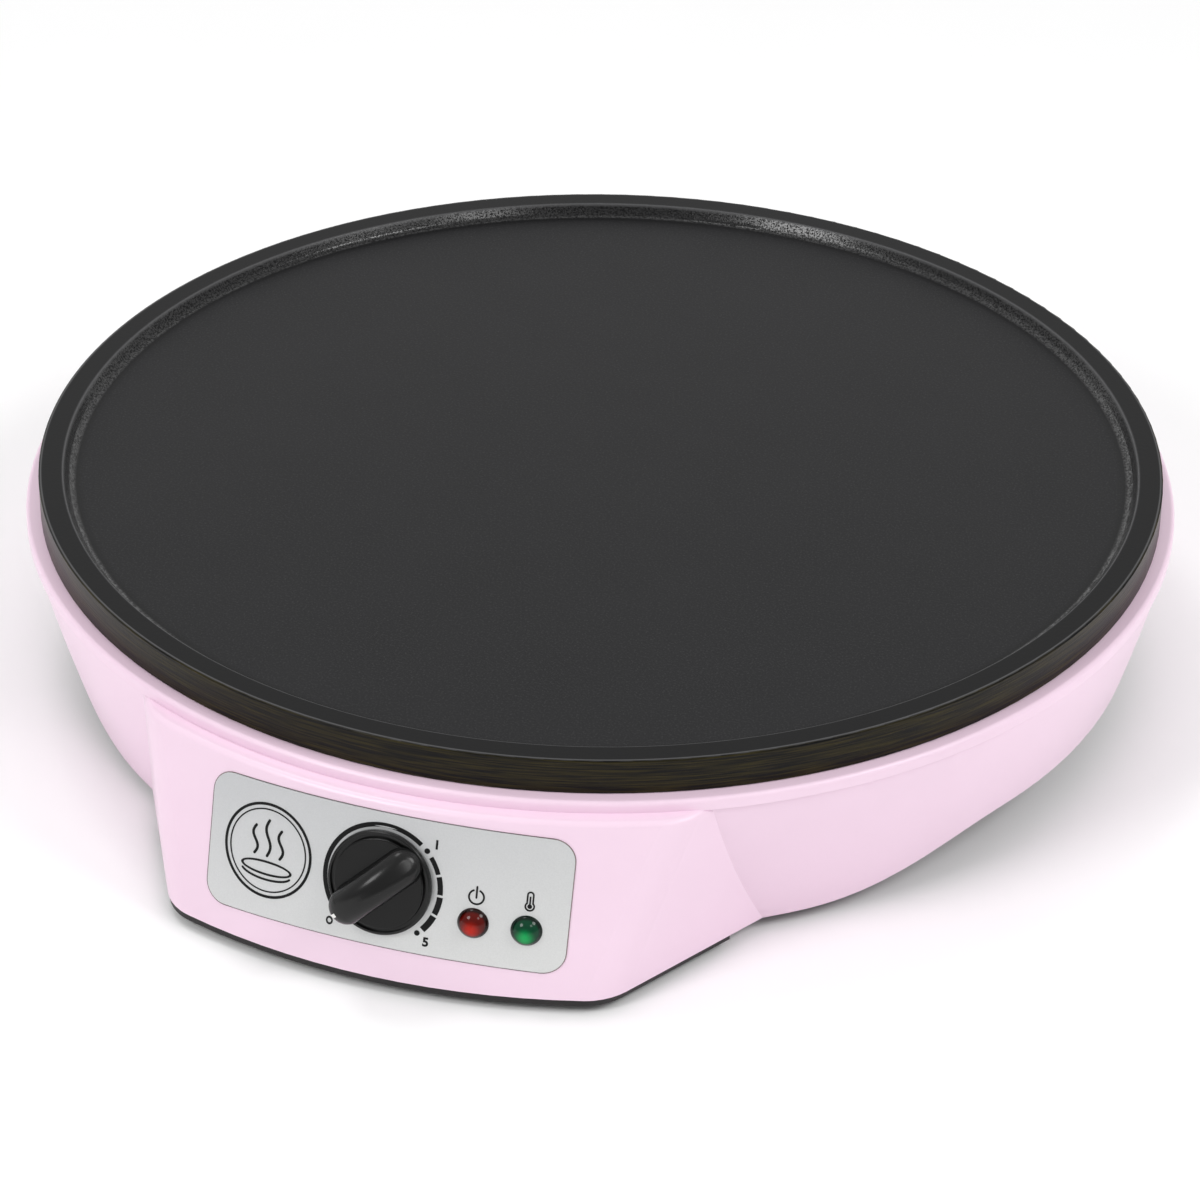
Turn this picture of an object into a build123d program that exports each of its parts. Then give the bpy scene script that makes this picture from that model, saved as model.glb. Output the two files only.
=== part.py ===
from build123d import *
from math import atan2, cos, degrees, hypot, radians, sin, sqrt, tan
import os

# Electric crepe maker: a cast plate over a skirted plastic housing with a control box at its front.
# Millimetres, +Z up, the control face looks towards -Y and the feet stand on z = 0. The pieces are
# laid out about the plate's vertical axis, and moved at the end so that the origin is the bottom
# centre of the whole appliance.

# ---- driving dimensions -------------------------------------------------------------------------

# Overall levels
overall_height = 60.5
foot_drop = 2.5                 # rubber showing below the bottom cover
shell_edge_height = 4.0         # lower edge of the housing's control box
slip = 0.05                     # radial clearance of a screw, pin or shaft in its hole
seat_gap = 0.3                  # air between curved faces that lie close

# Baking plate
plate_radius = 150.0
plate_lip_width = 6.4
plate_recess = 3.3
plate_wall_run = 2.0            # radial run of the recess's sloping wall
plate_floor_thickness = 5.3
plate_edge_height = 9.2
plate_skirt_width = 3.0         # its edge reaches a little below its underside
plate_corner_radius = 0.5
plate_floor_fillet = 2.0

# Rim, skirt and ledge of the housing
rim_ledge_width = 3.8           # the rim's edge beyond the plate's
rim_band_height = 3.3
rim_corner_radius = 1.1
rim_step = 0.7                  # skirt's top inside the rim's edge
skirt_taper = 11.7              # skirt's lower edge inside its top
skirt_bulge = 0.55              # how far the skirt's wall bows out of its chord
shell_wall = 2.4
well_overlap = 10.0             # the plate's edge beyond the well's wall
well_flange_depth = 7.0
well_flange_wall = 2.2
well_flange_lap = 1.0           # how far the ledge's sheet laps over the flange
arch_height = 12.0              # rise of the skirt's lower edge at the sides and back
arch_start = 32.4               # where that edge leaves the box's level, short of its own radius
arch_run = 47.0                 # how far back it takes to rise fully

# Control box
box_overhang = 16.8             # the face beyond the rim, at the bottom cover's underside
face_lean = 15.4                # degrees from upright, top towards the plate
box_drop = 3.0                  # top of the box below the housing's ledge
box_width = 126.6               # between its sides, side_setback behind the face
side_setback = 20.6
side_splay = 28.8               # degrees the sides open towards the rear
side_draft = 2.8                # degrees the sides open towards the top
box_corner_radius = 13.0
box_top_radius = 1.8
box_depth = 110.0               # how far back the box's own form runs into the round body

# Fascia, all measured on the face from the middle of the fascia
fascia_width = 94.0
fascia_height = 34.5
fascia_corner_radius = 5.6
fascia_thickness = 0.8
fascia_recess = 0.6
fascia_edge_gap = 0.15
fascia_top_margin = 2.797       # down the face from the box's top
knob_across = 0.6
knob_drop = 0.45
lamp_offsets = (24.3, 37.2)
lamp_drop = 6.85

# Lamps
lens_radius = 3.9
lens_height = 2.4
lens_stem_radius = 3.1
lens_stem_length = 7.0
holder_radius = 4.6
holder_length = 18.0
holder_floor = 1.5
holder_gap = 0.1                # between the holder and the housing's inner face
neon_radius = 2.2
neon_length = 10.0

# Knob, measured out from the fascia
knob_radius = 13.35
knob_gap = 0.35
collar_top = 1.7
collar_corner_radius = 0.5
groove_width = 1.0
groove_depth = 0.7
dial_radius = 11.6
dial_top = 2.1
dial_corner_radius = 0.4
hollow_radius = 9.4
hollow_top = 0.95
grip_tip_reach = 13.5           # from the axis to the pointer's end
grip_tail_reach = 12.9
grip_half_width = 4.9
grip_side_draft = 5.0           # degrees
grip_crown = ((14.0, 7.4), (9.0, 9.4), (1.0, 10.0), (-6.5, 7.8), (-13.6, 2.3))
grip_crown_flat = 1.1           # what the rounding leaves of the half width, along its crown
off_angle = 133.5               # pointer at 0, degrees anticlockwise from straight up

# Thermostat
nut_pocket_radius = 9.0
nut_pocket_floor = -1.8
shaft_radius = 3.0
shaft_flat = 2.2                # axis to the flat
shaft_top = 8.2
shaft_flat_start = 0.6
bush_radius = 4.9
bush_top = 0.3
nut_across_flats = 14.0
nut_height = 1.8
boss_pad_radius = 12.0
boss_pad_height = 1.4
thermostat_size = (30.0, 26.0, 20.0)
thermostat_corner_radius = 1.5
shaft_bore_depth = 12.0         # bore for the shaft, into the thermostat's body
thermostat_tab_spacing = 16.0
thermostat_tab_rise = 6.0
tab_width = 6.3
tab_thickness = 0.8
tab_length = 8.0

# Heating element
element_ring_radius = 90.0
element_tube_radius = 3.3
element_groove = 1.2            # depth that the tube sits into the plate
element_gap_angle = 18.0        # half of the ring's open angle, degrees
element_bend_radius = 9.0
element_tail = 3.0
bead_radius = 3.8
bead_length = 3.0

# Cast pads, saddles and their screws
pad_height = 3.0
pad_radius = 4.5
saddle_width = 10.0
saddle_slack = 0.2              # round the tube that a saddle holds
saddle_sheet = 1.0
saddle_foot = 9.0
saddle_screw_radius = 1.45
saddle_screw_bite = 5.0
saddle_head_radius = 2.8
saddle_head_height = 1.8
element_saddle_angles = (90, 180, 270)

# Reflector and plate screws
plate_boss_radius = 6.0
plate_boss_length = 6.5
plate_screw_inset = 20.0        # screw circle inside the well's wall
plate_screw_angles = (45, 135, 225, 315)
sleeve_radius = 5.0
sleeve_length = 4.4
reflector_sheet = 0.6
reflector_inset = 14.0          # edge of the reflector's flat inside the well's wall
reflector_flare = 6.8
bracket_thickness = 3.0
bracket_nose = 9.0              # bracket's end inside the screw circle
bracket_width = 18.0
plate_screw_radius = 1.95
plate_screw_bite = 5.0
plate_head_radius = 4.0
plate_head_height = 2.6
screw_passage = 0.25            # radial clearance of a screw in a hole that it only passes

# Thermal fuse and sensor bulb, along Y on the plate's underside
fuse_radius = 2.6
fuse_length = 34.0
fuse_place = (-45.0, -3.0)
bulb_radius = 3.0
bulb_length = 70.0
bulb_place = (35.0, 0.0)
capillary_radius = 0.8

# Bottom cover, its screws and feet
cover_thickness = 2.2
cover_gap = 0.4
cover_rise = 1.3                # main disc above the skirt's raised edge
trim_inset = 0.3
trim_length = 46.6              # visible trim, from the face back along the sides
cover_lip_wall = 1.8
screw_pad_height = 5.0
screw_pad_radius = 6.0
counterbore_depth = 2.8
counterbore_radius = 3.8
cover_screw_radius = 1.45
cover_head_radius = 3.3
cover_head_height = 2.2
cover_screw_bite = 10.0
cover_boss_radius = 4.5
cover_boss_height = 13.0
boss_rib_width = 3.0
disc_screw_inset = 9.4          # screw circle inside the skirt's lower edge
disc_screw_angles = (62, 118, 242, 298)
box_screw_inset = 4.3           # from half the box's width
box_screw_setback = 34.6        # behind the face
front_foot_across = 47.0
front_foot_setback = 25.6       # behind the face
rear_foot_inset = 26.77         # inside the skirt's lower edge
rear_foot_angle = 137.12
foot_radius = 8.0
foot_corner_radius = 0.8
foot_stem_radius = 3.0
foot_stem_length = 4.0
post_top_radius = 13.0
post_foot_radius = 10.0
post_recess = 1.0               # how far a rear foot sits into its post

# Terminal block, earth and cord bush
block_size = (36.0, 16.0, 14.0)
block_setback = 29.4            # inside the skirt's lower edge
block_chamfer = 1.0
block_way_spacing = 10.0
block_way_rise = 7.5
block_way_radius = 2.2
block_way_depth = 4.2           # screw wells in its top
block_screw_bite = 6.0
earth_place = (45.0, 65.0)
earth_boss_radius = 5.0
earth_tail = 10.0
earth_barrel_length = 6.0
earth_barrel_radius = 1.8
earth_screw_bite = 6.0
cord_bore_radius = 3.6
cord_bush_height = 32.0
cord_bush_neck_radius = 6.5
cord_bush_flange_radius = 9.5
cord_bush_flange = 2.5
cord_bush_corner_radius = 1.0
cord_pad_radius = 12.0

# Leads and capillary tube
lead_radius = 1.2
lead_rise = 3.5                 # above the bottom cover
lead_bend = 5.0
lead_close_bend = 3.5
lead_tab_run = 6.0              # straight runs where a lead meets a tab, a way or a tail
live_block_run = 12.0
live_across = 62.0
live_back = 60.0
live_front = 55.0
live_turn = (30.0, 19.5)        # last corner: across, and behind the straight run at its tab
tail_run = 12.0
fuse_drop_run = 18.0            # from the fuse's end to where its lead drops
neutral_block_run = 14.0
neutral_approach = 22.0
tail_approach = 18.0
earth_block_run = 9.0
earth_run = 14.0
lamp_lead_radius = 0.8
lamp_lead_bend = 2.0
lamp_lead_across = 12.0
lamp_lead_depths = (4.5, 8.5)
lamp_lead_heights = (-8.5, -4.0)
capillary_bend = 3.0
capillary_bulb_run = 10.0
capillary_drop = (48.0, -62.0)
capillary_port_drop = 8.0       # below the shaft's axis
capillary_port_run = 8.0
capillary_corners = ((34.0, 34.0), (6.0, 20.0))     # across, and behind the run at the port

# ---- sizes and levels that follow ---------------------------------------------------------------

rim_radius = plate_radius + rim_ledge_width
skirt_top_radius = rim_radius - rim_step
skirt_edge_radius = skirt_top_radius - skirt_taper
well_radius = plate_radius - well_overlap
arch_front = skirt_edge_radius - arch_start
arch_back = arch_front - arch_run
box_reach = rim_radius + box_overhang
side_station = box_reach - side_setback
trim_end = box_reach - trim_length
plate_screw_circle = well_radius - plate_screw_inset
reflector_flat_radius = well_radius - reflector_inset
bracket_inner_radius = plate_screw_circle - bracket_nose
disc_screw_circle = skirt_edge_radius - disc_screw_inset
box_screw_place = (box_width / 2 - box_screw_inset, box_reach - box_screw_setback)
front_foot_place = (front_foot_across, box_reach - front_foot_setback)
block_station = skirt_edge_radius - block_setback

base_z = foot_drop
rim_z = overall_height
plate_floor_z = rim_z - plate_recess
plate_under_z = plate_floor_z - plate_floor_thickness
plate_edge_z = rim_z - plate_edge_height
ledge_z = plate_edge_z - seat_gap
band_low_z = ledge_z - rim_band_height
box_top_z = ledge_z - box_drop
arch_top_z = shell_edge_height + arch_height
disc_low_z = arch_top_z + cover_rise
disc_top_z = disc_low_z + cover_thickness
boss_end_z = plate_under_z - plate_boss_length
reflector_top_z = boss_end_z - sleeve_length
reflector_low_z = reflector_top_z - reflector_sheet
bracket_low_z = reflector_low_z - bracket_thickness
lean = radians(face_lean)
splay = radians(side_splay)
fascia_middle = (box_top_z - base_z) / cos(lean) - fascia_top_margin - fascia_height / 2
below_everything = -10.0
beyond_everything = 220.0


# ---- shared forms -------------------------------------------------------------------------------

def turned(*outline):
    """Solid of revolution about the plate's axis; outline holds (radius, height) points."""
    return revolve(Plane.XZ * make_face(Polyline(*outline, close=True)), Axis.Z)


def slab(low, high):
    """Block that spans everything between two heights."""
    size = 2 * beyond_everything
    return Pos(0, 0, low) * Box(size, size, high - low, align=(Align.CENTER, Align.CENTER, Align.MIN))


def front_part(station, low, high):
    """Block in front of a station (distance forward of the plate's axis), between two heights."""
    align = (Align.CENTER, Align.MAX, Align.MIN)
    return Pos(0, -station, low) * Box(2 * beyond_everything, beyond_everything, high - low, align=align)


def rod(place, radius, length):
    """Upright cylinder whose lower end is centred on place."""
    return Pos(*place) * Cylinder(radius, length, align=(Align.CENTER, Align.CENTER, Align.MIN))


def around(radius, angle, height=0.0):
    """Point at an angle from straight forward, anticlockwise from above."""
    turn = radians(angle)
    return (radius * sin(turn), -radius * cos(turn), height)


def mirrored(place, height=0.0):
    """The same place on the left and on the right, forward of the axis."""
    return [(side * place[0], -place[1], height) for side in (-1, 1)]


def pan_screw(head_radius, head_height, shank_radius, shank_length):
    """Screw that points up; its head hangs below z = 0."""
    head = rod((0, 0, -head_height), head_radius, head_height)
    head = fillet(head.edges().group_by(Axis.Z)[0], 0.35 * head_height)
    shank = rod((0, 0, 0), shank_radius, shank_length)
    slot = Pos(0, 0, -head_height) * Box(1.4 * head_radius, 0.25 * head_radius, 0.8 * head_height)
    cross = slot + Rot(0, 0, 90) * slot
    return head + shank - cross


def tube(points, radius, bend):
    """Round tube along straight runs joined by tangent arcs."""
    path = FilletPolyline(*points, radius=bend)
    section = Plane(origin=path @ 0, z_dir=path % 0) * Circle(radius)
    return sweep(section, path=path)


# The skirt's wall is an arc between its top and its lower edge.
skirt_chord = hypot(skirt_top_radius - skirt_edge_radius, band_low_z - shell_edge_height)
skirt_arc_radius = skirt_chord ** 2 / (8 * skirt_bulge) + skirt_bulge / 2
skirt_slope = atan2(skirt_top_radius - skirt_edge_radius, band_low_z - shell_edge_height)
skirt_centre_radius = ((skirt_top_radius + skirt_edge_radius) / 2
                       - (skirt_arc_radius - skirt_bulge) * cos(skirt_slope))
skirt_centre_z = ((band_low_z + shell_edge_height) / 2
                  + (skirt_arc_radius - skirt_bulge) * sin(skirt_slope))


def skirt_radius(z, inset=0.0):
    """Radius of the skirt at a height, with its wall moved in by inset."""
    return skirt_centre_radius + sqrt((skirt_arc_radius - inset) ** 2 - (z - skirt_centre_z) ** 2)


def round_form(inset, low, high):
    """Inside of the skirt's wall moved in by inset, between two heights."""
    middle = (low + high) / 2
    bottom = (skirt_radius(low, inset), low)
    top = (skirt_radius(high, inset), high)
    wall = ThreePointArc(bottom, (skirt_radius(middle, inset), middle), top)
    rest = Polyline(top, (0, high), (0, low), bottom)
    return revolve(Plane.XZ * make_face(wall.edges() + rest.edges()), Axis.Z)


def face_radius(z, inset=0.0):
    """Radius of the leaning control face at a height."""
    return box_reach - (z - base_z) * tan(lean) - inset / cos(lean)


def face_cone(inset, low, high):
    """Cone under the control face."""
    return turned((0, low), (face_radius(low, inset), low), (face_radius(high, inset), high), (0, high))


def box_outline(z, inset):
    """Four corners of the control box's splayed sides at a height."""
    widening = (z - base_z) * tan(radians(side_draft)) - inset

    def half_width(station):
        return box_width / 2 + (side_station - station) * tan(splay) + widening / cos(splay)

    far = side_station + 50
    near = side_station - box_depth + inset
    corners = [(-half_width(far), -far), (half_width(far), -far),
               (half_width(near), -near), (-half_width(near), -near)]
    return Pos(0, 0, z) * make_face(Polyline(*corners, close=True))


def box_form(inset, low, high):
    """Control box: leaning round face, splayed sides, rounded upright corners."""
    wedge = loft([box_outline(below_everything, inset), box_outline(ledge_z, inset)], ruled=True)
    form = face_cone(inset, below_everything, ledge_z) & wedge
    tall = form.edges().filter_by(
        lambda edge: edge.bounding_box().size.Z > 0.9 * (ledge_z - below_everything))
    front_corners = sorted(tall, key=lambda edge: edge.center().Y)[:2]
    return fillet(front_corners, box_corner_radius - inset) & slab(low, high)


def body_form(inset, low, high):
    """Round body and control box together."""
    box_high = min(high, box_top_z - inset)
    return round_form(inset, low, high) + box_form(inset, low, box_high)


# ---- places on the control face -----------------------------------------------------------------

face_radius_middle = box_reach - fascia_middle * sin(lean)
face_out = Vector(0, -cos(lean), sin(lean))
face_up = Vector(0, sin(lean), cos(lean))
face_middle = Vector(0, -face_radius_middle, base_z + fascia_middle * cos(lean))
fascia_proud = fascia_thickness - fascia_recess


def on_face(across, up, out=0.0):
    """Plane on the fascia's surface, across and up from its middle, facing out."""
    reach = face_radius_middle - up * sin(lean)
    flat = 1 - tan(lean) ** 2
    sag = (reach / cos(lean) - sqrt((reach / cos(lean)) ** 2 - flat * across ** 2)) / flat
    point = face_middle + Vector(across, 0, 0) + face_up * up - face_out * sag
    turn = atan2(point.X, -point.Y)
    outward = Vector(sin(turn) * cos(lean), -cos(turn) * cos(lean), sin(lean))
    level = Vector(cos(turn), sin(turn), 0)
    return Plane(origin=point + outward * (fascia_proud + out), x_dir=level, z_dir=outward)


face_plane = on_face(0, 0)
knob_plane = on_face(knob_across, -knob_drop)
lamp_planes = [on_face(offset, -lamp_drop) for offset in lamp_offsets]
shell_outer = -fascia_proud     # the housing's outer face, measured from the fascia's surface
shell_inner = shell_outer - shell_wall
boss_pad_end = shell_inner - boss_pad_height
thermostat_rear = boss_pad_end - thermostat_size[2]
thermostat_tab_end = thermostat_rear - tab_length
holder_end = shell_inner - holder_gap - holder_length


def fascia_prism(extra):
    """Rounded rectangle square to the middle of the face, grown by extra."""
    outline = RectangleRounded(fascia_width + 2 * extra, fascia_height + 2 * extra,
                               fascia_corner_radius + extra)
    return extrude(face_plane * Pos(0, 0, -20) * outline, 40)


def face_layer(out, deep, extra):
    """Layer of the face under the fascia's outline, from out (proud) to deep."""
    low, high = base_z, box_top_z + 5
    layer = face_cone(-out, low, high) - face_cone(deep, low, high)
    return layer & fascia_prism(extra)


# ---- baking plate -------------------------------------------------------------------------------

element_z = plate_under_z - element_tube_radius + element_groove
fuse_z = plate_under_z - fuse_radius - slip
bulb_z = plate_under_z - bulb_radius - slip
saddle_seat_z = plate_under_z - pad_height


def saddle_feet(tube_radius):
    """Distance from the tube's middle to the screw on each side."""
    return tube_radius + saddle_slack + saddle_sheet + saddle_foot / 2


saddles = {
    "element": [(around(element_ring_radius, angle, element_z), angle, element_tube_radius)
                for angle in element_saddle_angles],
    "fuse": [((*fuse_place, fuse_z), 90, fuse_radius)],
    "bulb": [((*bulb_place, bulb_z), 90, bulb_radius)],
}


def saddle_screw_places(place, angle, tube_radius):
    """Both screw places of one saddle, at the height of its feet."""
    turn = radians(angle)
    feet = saddle_feet(tube_radius)
    return [(place[0] + side * feet * sin(turn), place[1] - side * feet * cos(turn), saddle_seat_z)
            for side in (-1, 1)]


all_saddles = [saddle for group in saddles.values() for saddle in group]
all_saddle_screws = [spot for saddle in all_saddles for spot in saddle_screw_places(*saddle)]
plate_screw_places = [around(plate_screw_circle, angle) for angle in plate_screw_angles]


def make_baking_plate():
    recess_radius = plate_radius - plate_lip_width
    floor_radius = recess_radius - plate_wall_run
    plate = turned((0, plate_under_z), (plate_radius - plate_skirt_width, plate_under_z),
                   (plate_radius - plate_skirt_width, plate_edge_z), (plate_radius, plate_edge_z),
                   (plate_radius, rim_z), (recess_radius, rim_z),
                   (floor_radius, plate_floor_z), (0, plate_floor_z))
    circles = plate.edges().filter_by(GeomType.CIRCLE)
    floor_corner = circles.filter_by(lambda edge: abs(edge.radius - floor_radius) < 0.1)
    plate = fillet(floor_corner, plate_floor_fillet)
    top_corners = plate.edges().filter_by(GeomType.CIRCLE).filter_by(
        lambda edge: edge.center().Z > rim_z - 0.1 and edge.radius > recess_radius - 0.1)
    plate = fillet(top_corners, plate_corner_radius)
    for spot in all_saddle_screws:
        plate += rod(spot, pad_radius, pad_height)
    for x, y, _ in plate_screw_places:
        plate += rod((x, y, boss_end_z), plate_boss_radius, plate_boss_length)
    plate += rod((*earth_place, reflector_top_z), earth_boss_radius, plate_under_z - reflector_top_z)
    plate -= Pos(0, 0, element_z) * Torus(element_ring_radius, element_tube_radius + slip)
    for spot in all_saddle_screws:
        plate -= rod(spot, saddle_screw_radius + slip, saddle_screw_bite + slip)
    for x, y, _ in plate_screw_places:
        plate -= rod((x, y, boss_end_z), plate_screw_radius + slip, plate_screw_bite + slip)
    plate -= rod((*earth_place, reflector_top_z), plate_screw_radius + slip, earth_screw_bite + slip)
    return plate


# ---- heating element ----------------------------------------------------------------------------

element_ends = []
for side in (-1, 1):
    end = Vector(*around(element_ring_radius, side * element_gap_angle, element_z))
    along = Vector(-side * cos(radians(element_gap_angle)), -sin(radians(element_gap_angle)), 0)
    element_ends.append((end, along))
element_tail_z = element_z - element_bend_radius - element_tail
element_tail_places = [(end + along * element_bend_radius) for end, along in element_ends]
tab_end_z = element_tail_z - bead_length - tab_length


def make_heating_element():
    start = Plane(origin=element_ends[1][0], z_dir=-element_ends[1][1])
    element = revolve(start * Circle(element_tube_radius), Axis.Z, 360 - 2 * element_gap_angle)
    for end, along in element_ends:
        pivot = end - Vector(0, 0, element_bend_radius)
        axis = Axis(pivot, along.cross(Vector(0, 0, -1)))
        element += revolve(Plane(origin=end, z_dir=along) * Circle(element_tube_radius), axis, 90)
    for place in element_tail_places:
        element += rod((place.X, place.Y, element_tail_z), element_tube_radius, element_tail)
    return element


def make_element_beads():
    return [rod((place.X, place.Y, element_tail_z - bead_length), bead_radius, bead_length)
            for place in element_tail_places]


def make_element_tabs():
    align = (Align.CENTER, Align.CENTER, Align.MIN)
    return [Pos(place.X, place.Y, tab_end_z) * Box(tab_width, tab_thickness, tab_length, align=align)
            for place in element_tail_places]


# ---- saddles that hold round things against the plate -------------------------------------------

def make_saddle(place, angle, tube_radius):
    drop = saddle_seat_z - place[2]             # feet above the tube's middle
    inner = tube_radius + saddle_slack
    outer = inner + saddle_sheet
    hoop = Circle(outer) + Pos(0, drop / 2) * Rectangle(2 * outer, drop)
    feet = Pos(0, drop - saddle_sheet / 2) * Rectangle(2 * (outer + saddle_foot), saddle_sheet)
    hollow = Circle(inner) + Pos(0, inner) * Rectangle(2 * inner, 2 * inner)
    lower_half = Pos(0, drop - beyond_everything) * Rectangle(beyond_everything, 2 * beyond_everything)
    profile = (hoop + feet - hollow) & lower_half
    strap = extrude(Plane.XZ * profile, saddle_width / 2, both=True)
    strap = Pos(*place) * Rot(0, 0, angle - 90) * strap
    for x, y, z in saddle_screw_places(place, angle, tube_radius):
        strap -= rod((x, y, z - 2 * saddle_sheet), saddle_screw_radius + slip, 3 * saddle_sheet)
    return strap


def make_saddles(group):
    return [make_saddle(*saddle) for saddle in saddles[group]]


def make_saddle_screws(group):
    spots = [spot for saddle in saddles[group] for spot in saddle_screw_places(*saddle)]
    screw = pan_screw(saddle_head_radius, saddle_head_height, saddle_screw_radius,
                      saddle_screw_bite + saddle_sheet)
    return [Pos(x, y, z - saddle_sheet) * screw for x, y, z in spots]


def make_thermal_fuse():
    body = Rot(90, 0, 0) * Cylinder(fuse_radius, fuse_length)
    return Pos(*fuse_place, fuse_z) * body


def make_sensor_bulb():
    body = Rot(90, 0, 0) * Cylinder(bulb_radius, bulb_length)
    body = fillet(body.edges(), 0.4 * bulb_radius)
    return Pos(*bulb_place, bulb_z) * body


# ---- reflector and the screws that carry the plate ----------------------------------------------

fuse_drops = [(fuse_place[0], fuse_place[1] + side * (fuse_length / 2 + fuse_drop_run)) for side in (-1, 1)]


def make_heat_reflector():
    flare_radius = reflector_flat_radius + reflector_flare
    flare_z = reflector_top_z + reflector_flare
    dish = turned((0, reflector_low_z), (reflector_flat_radius, reflector_low_z),
                  (flare_radius, flare_z - reflector_sheet), (flare_radius - reflector_sheet, flare_z),
                  (reflector_flat_radius - reflector_sheet, reflector_top_z), (0, reflector_top_z))
    openings = [(x, y, plate_screw_radius + screw_passage) for x, y, _ in plate_screw_places]
    openings += [(place.X, place.Y, element_tube_radius + 2) for place in element_tail_places]
    openings += [(x, y, 3 * lead_radius) for x, y in fuse_drops]
    openings += [(*capillary_drop, 4 * capillary_radius)]
    openings += [(*earth_place, plate_screw_radius + screw_passage)]
    for x, y, radius in openings:
        dish -= rod((x, y, reflector_low_z - 1), radius, reflector_sheet + 2)
    return dish


def make_spacer_sleeves():
    sleeves = []
    for x, y, _ in plate_screw_places:
        sleeve = rod((x, y, reflector_top_z), sleeve_radius, sleeve_length)
        sleeve -= rod((x, y, reflector_top_z), plate_screw_radius + screw_passage, sleeve_length)
        sleeves.append(sleeve)
    return sleeves


def make_plate_screws():
    length = bracket_thickness + reflector_sheet + sleeve_length + plate_screw_bite
    screw = pan_screw(plate_head_radius, plate_head_height, plate_screw_radius, length)
    return [Pos(x, y, bracket_low_z) * screw for x, y, _ in plate_screw_places]


# ---- housing ------------------------------------------------------------------------------------

disc_screw_places = [around(disc_screw_circle, angle, disc_low_z) for angle in disc_screw_angles]
box_screw_places = mirrored(box_screw_place, base_z)
cover_screw_places = disc_screw_places + box_screw_places


def wall_boss(place, radius, height):
    """Upright boss tied to the nearest wall by a rib."""
    x, y, z = place
    outward = degrees(atan2(y, x))
    align = (Align.MIN, Align.CENTER, Align.MIN)
    rib = Pos(*place) * Rot(0, 0, outward) * Box(4 * radius, boss_rib_width, height, align=align)
    return rod(place, radius, height) + rib


def make_arch_cutter():
    """Block under the skirt's lower edge, which rises from the box's level to the sides and back."""
    start = (-arch_front, shell_edge_height)
    top = (-arch_back, arch_top_z)
    rise = Spline(start, top, tangents=((1, 0), (1, 0)))
    rest = Polyline(top, (beyond_everything, arch_top_z), (beyond_everything, below_everything),
                    (-beyond_everything, below_everything), (-beyond_everything, shell_edge_height), start)
    return extrude(Plane.YZ * make_face(rise.edges() + rest.edges()), beyond_everything, both=True)


def make_housing():
    # Outer form
    outer = round_form(0, shell_edge_height, band_low_z)
    box = box_form(0, shell_edge_height, box_top_z)
    brim = [edge for edge in box.edges() if edge.center().Z > box_top_z - 0.1
            and edge.center().Y < -side_station + 20]
    box = fillet(brim, box_top_radius)
    band = turned((0, band_low_z - 0.1), (rim_radius, band_low_z), (rim_radius, ledge_z), (0, ledge_z))
    band = fillet(band.edges().filter_by(GeomType.CIRCLE).group_by(Axis.Z)[-1], rim_corner_radius)
    shell = outer + box + band
    # Cavity, well under the plate and the flange round it
    shell -= body_form(shell_wall, below_everything, ledge_z - shell_wall)
    shell -= rod((0, 0, 0), well_radius, overall_height)
    flange_low = ledge_z - well_flange_depth
    flange_high = ledge_z - well_flange_lap
    shell += turned((well_radius, flange_low), (well_radius + well_flange_wall, flange_low),
                    (well_radius + well_flange_wall, flange_high), (well_radius, flange_high))
    # Brackets that carry the plate, and bosses for the bottom cover's screws
    inside = body_form(shell_wall - 0.6, 0, ledge_z - shell_wall)
    fittings = []
    for angle in plate_screw_angles:
        align = (Align.CENTER, Align.MAX, Align.MIN)
        bracket = Box(bracket_width, rim_radius - bracket_inner_radius, bracket_thickness, align=align)
        fittings.append(Rot(0, 0, angle) * Pos(0, -bracket_inner_radius, bracket_low_z) * bracket)
    for x, y, z in cover_screw_places:
        fittings.append(wall_boss((x, y, z + screw_pad_height), cover_boss_radius, cover_boss_height))
    for fitting in fittings:
        shell += fitting & inside
    # Flat pad behind the face for the thermostat, and one on the rear wall for the cord bush
    shell += extrude(knob_plane * Pos(0, 0, boss_pad_end) * Circle(boss_pad_radius),
                     shell_outer - fascia_recess - boss_pad_end - 0.5)
    cord_pad = Plane(origin=(0, cord_pad_station, cord_bush_height), z_dir=(0, -1, 0))
    shell += extrude(cord_pad * Circle(cord_pad_radius), cord_pad_station - cord_pad_inner)
    # Cuts
    shell -= make_arch_cutter()
    shell -= face_layer(1.0, fascia_recess, fascia_edge_gap)
    shell -= extrude(knob_plane * Pos(0, 0, -15) * Circle(bush_radius + screw_passage), 20)
    shell -= extrude(knob_plane * Pos(0, 0, nut_pocket_floor) * Circle(nut_pocket_radius), 10)
    for plane in lamp_planes:
        shell -= extrude(plane * Pos(0, 0, -10) * Circle(lens_stem_radius + slip), 15)
    bore = Plane(origin=(0, cord_pad_station + 5, cord_bush_height), z_dir=(0, -1, 0))
    shell -= extrude(bore * Circle(cord_bush_neck_radius + slip), 30)
    for x, y, _ in plate_screw_places:
        shell -= rod((x, y, bracket_low_z - 1), plate_screw_radius + screw_passage, bracket_thickness + 2)
    for x, y, z in cover_screw_places:
        shell -= rod((x, y, z + screw_pad_height), cover_screw_radius + slip, cover_screw_bite + 1)
    return shell


# ---- bottom cover, feet and screws --------------------------------------------------------------

cover_inset = shell_wall + cover_gap
front_feet = mirrored(front_foot_place)
rear_feet = [around(skirt_edge_radius - rear_foot_inset, side * rear_foot_angle) for side in (-1, 1)]


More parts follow.
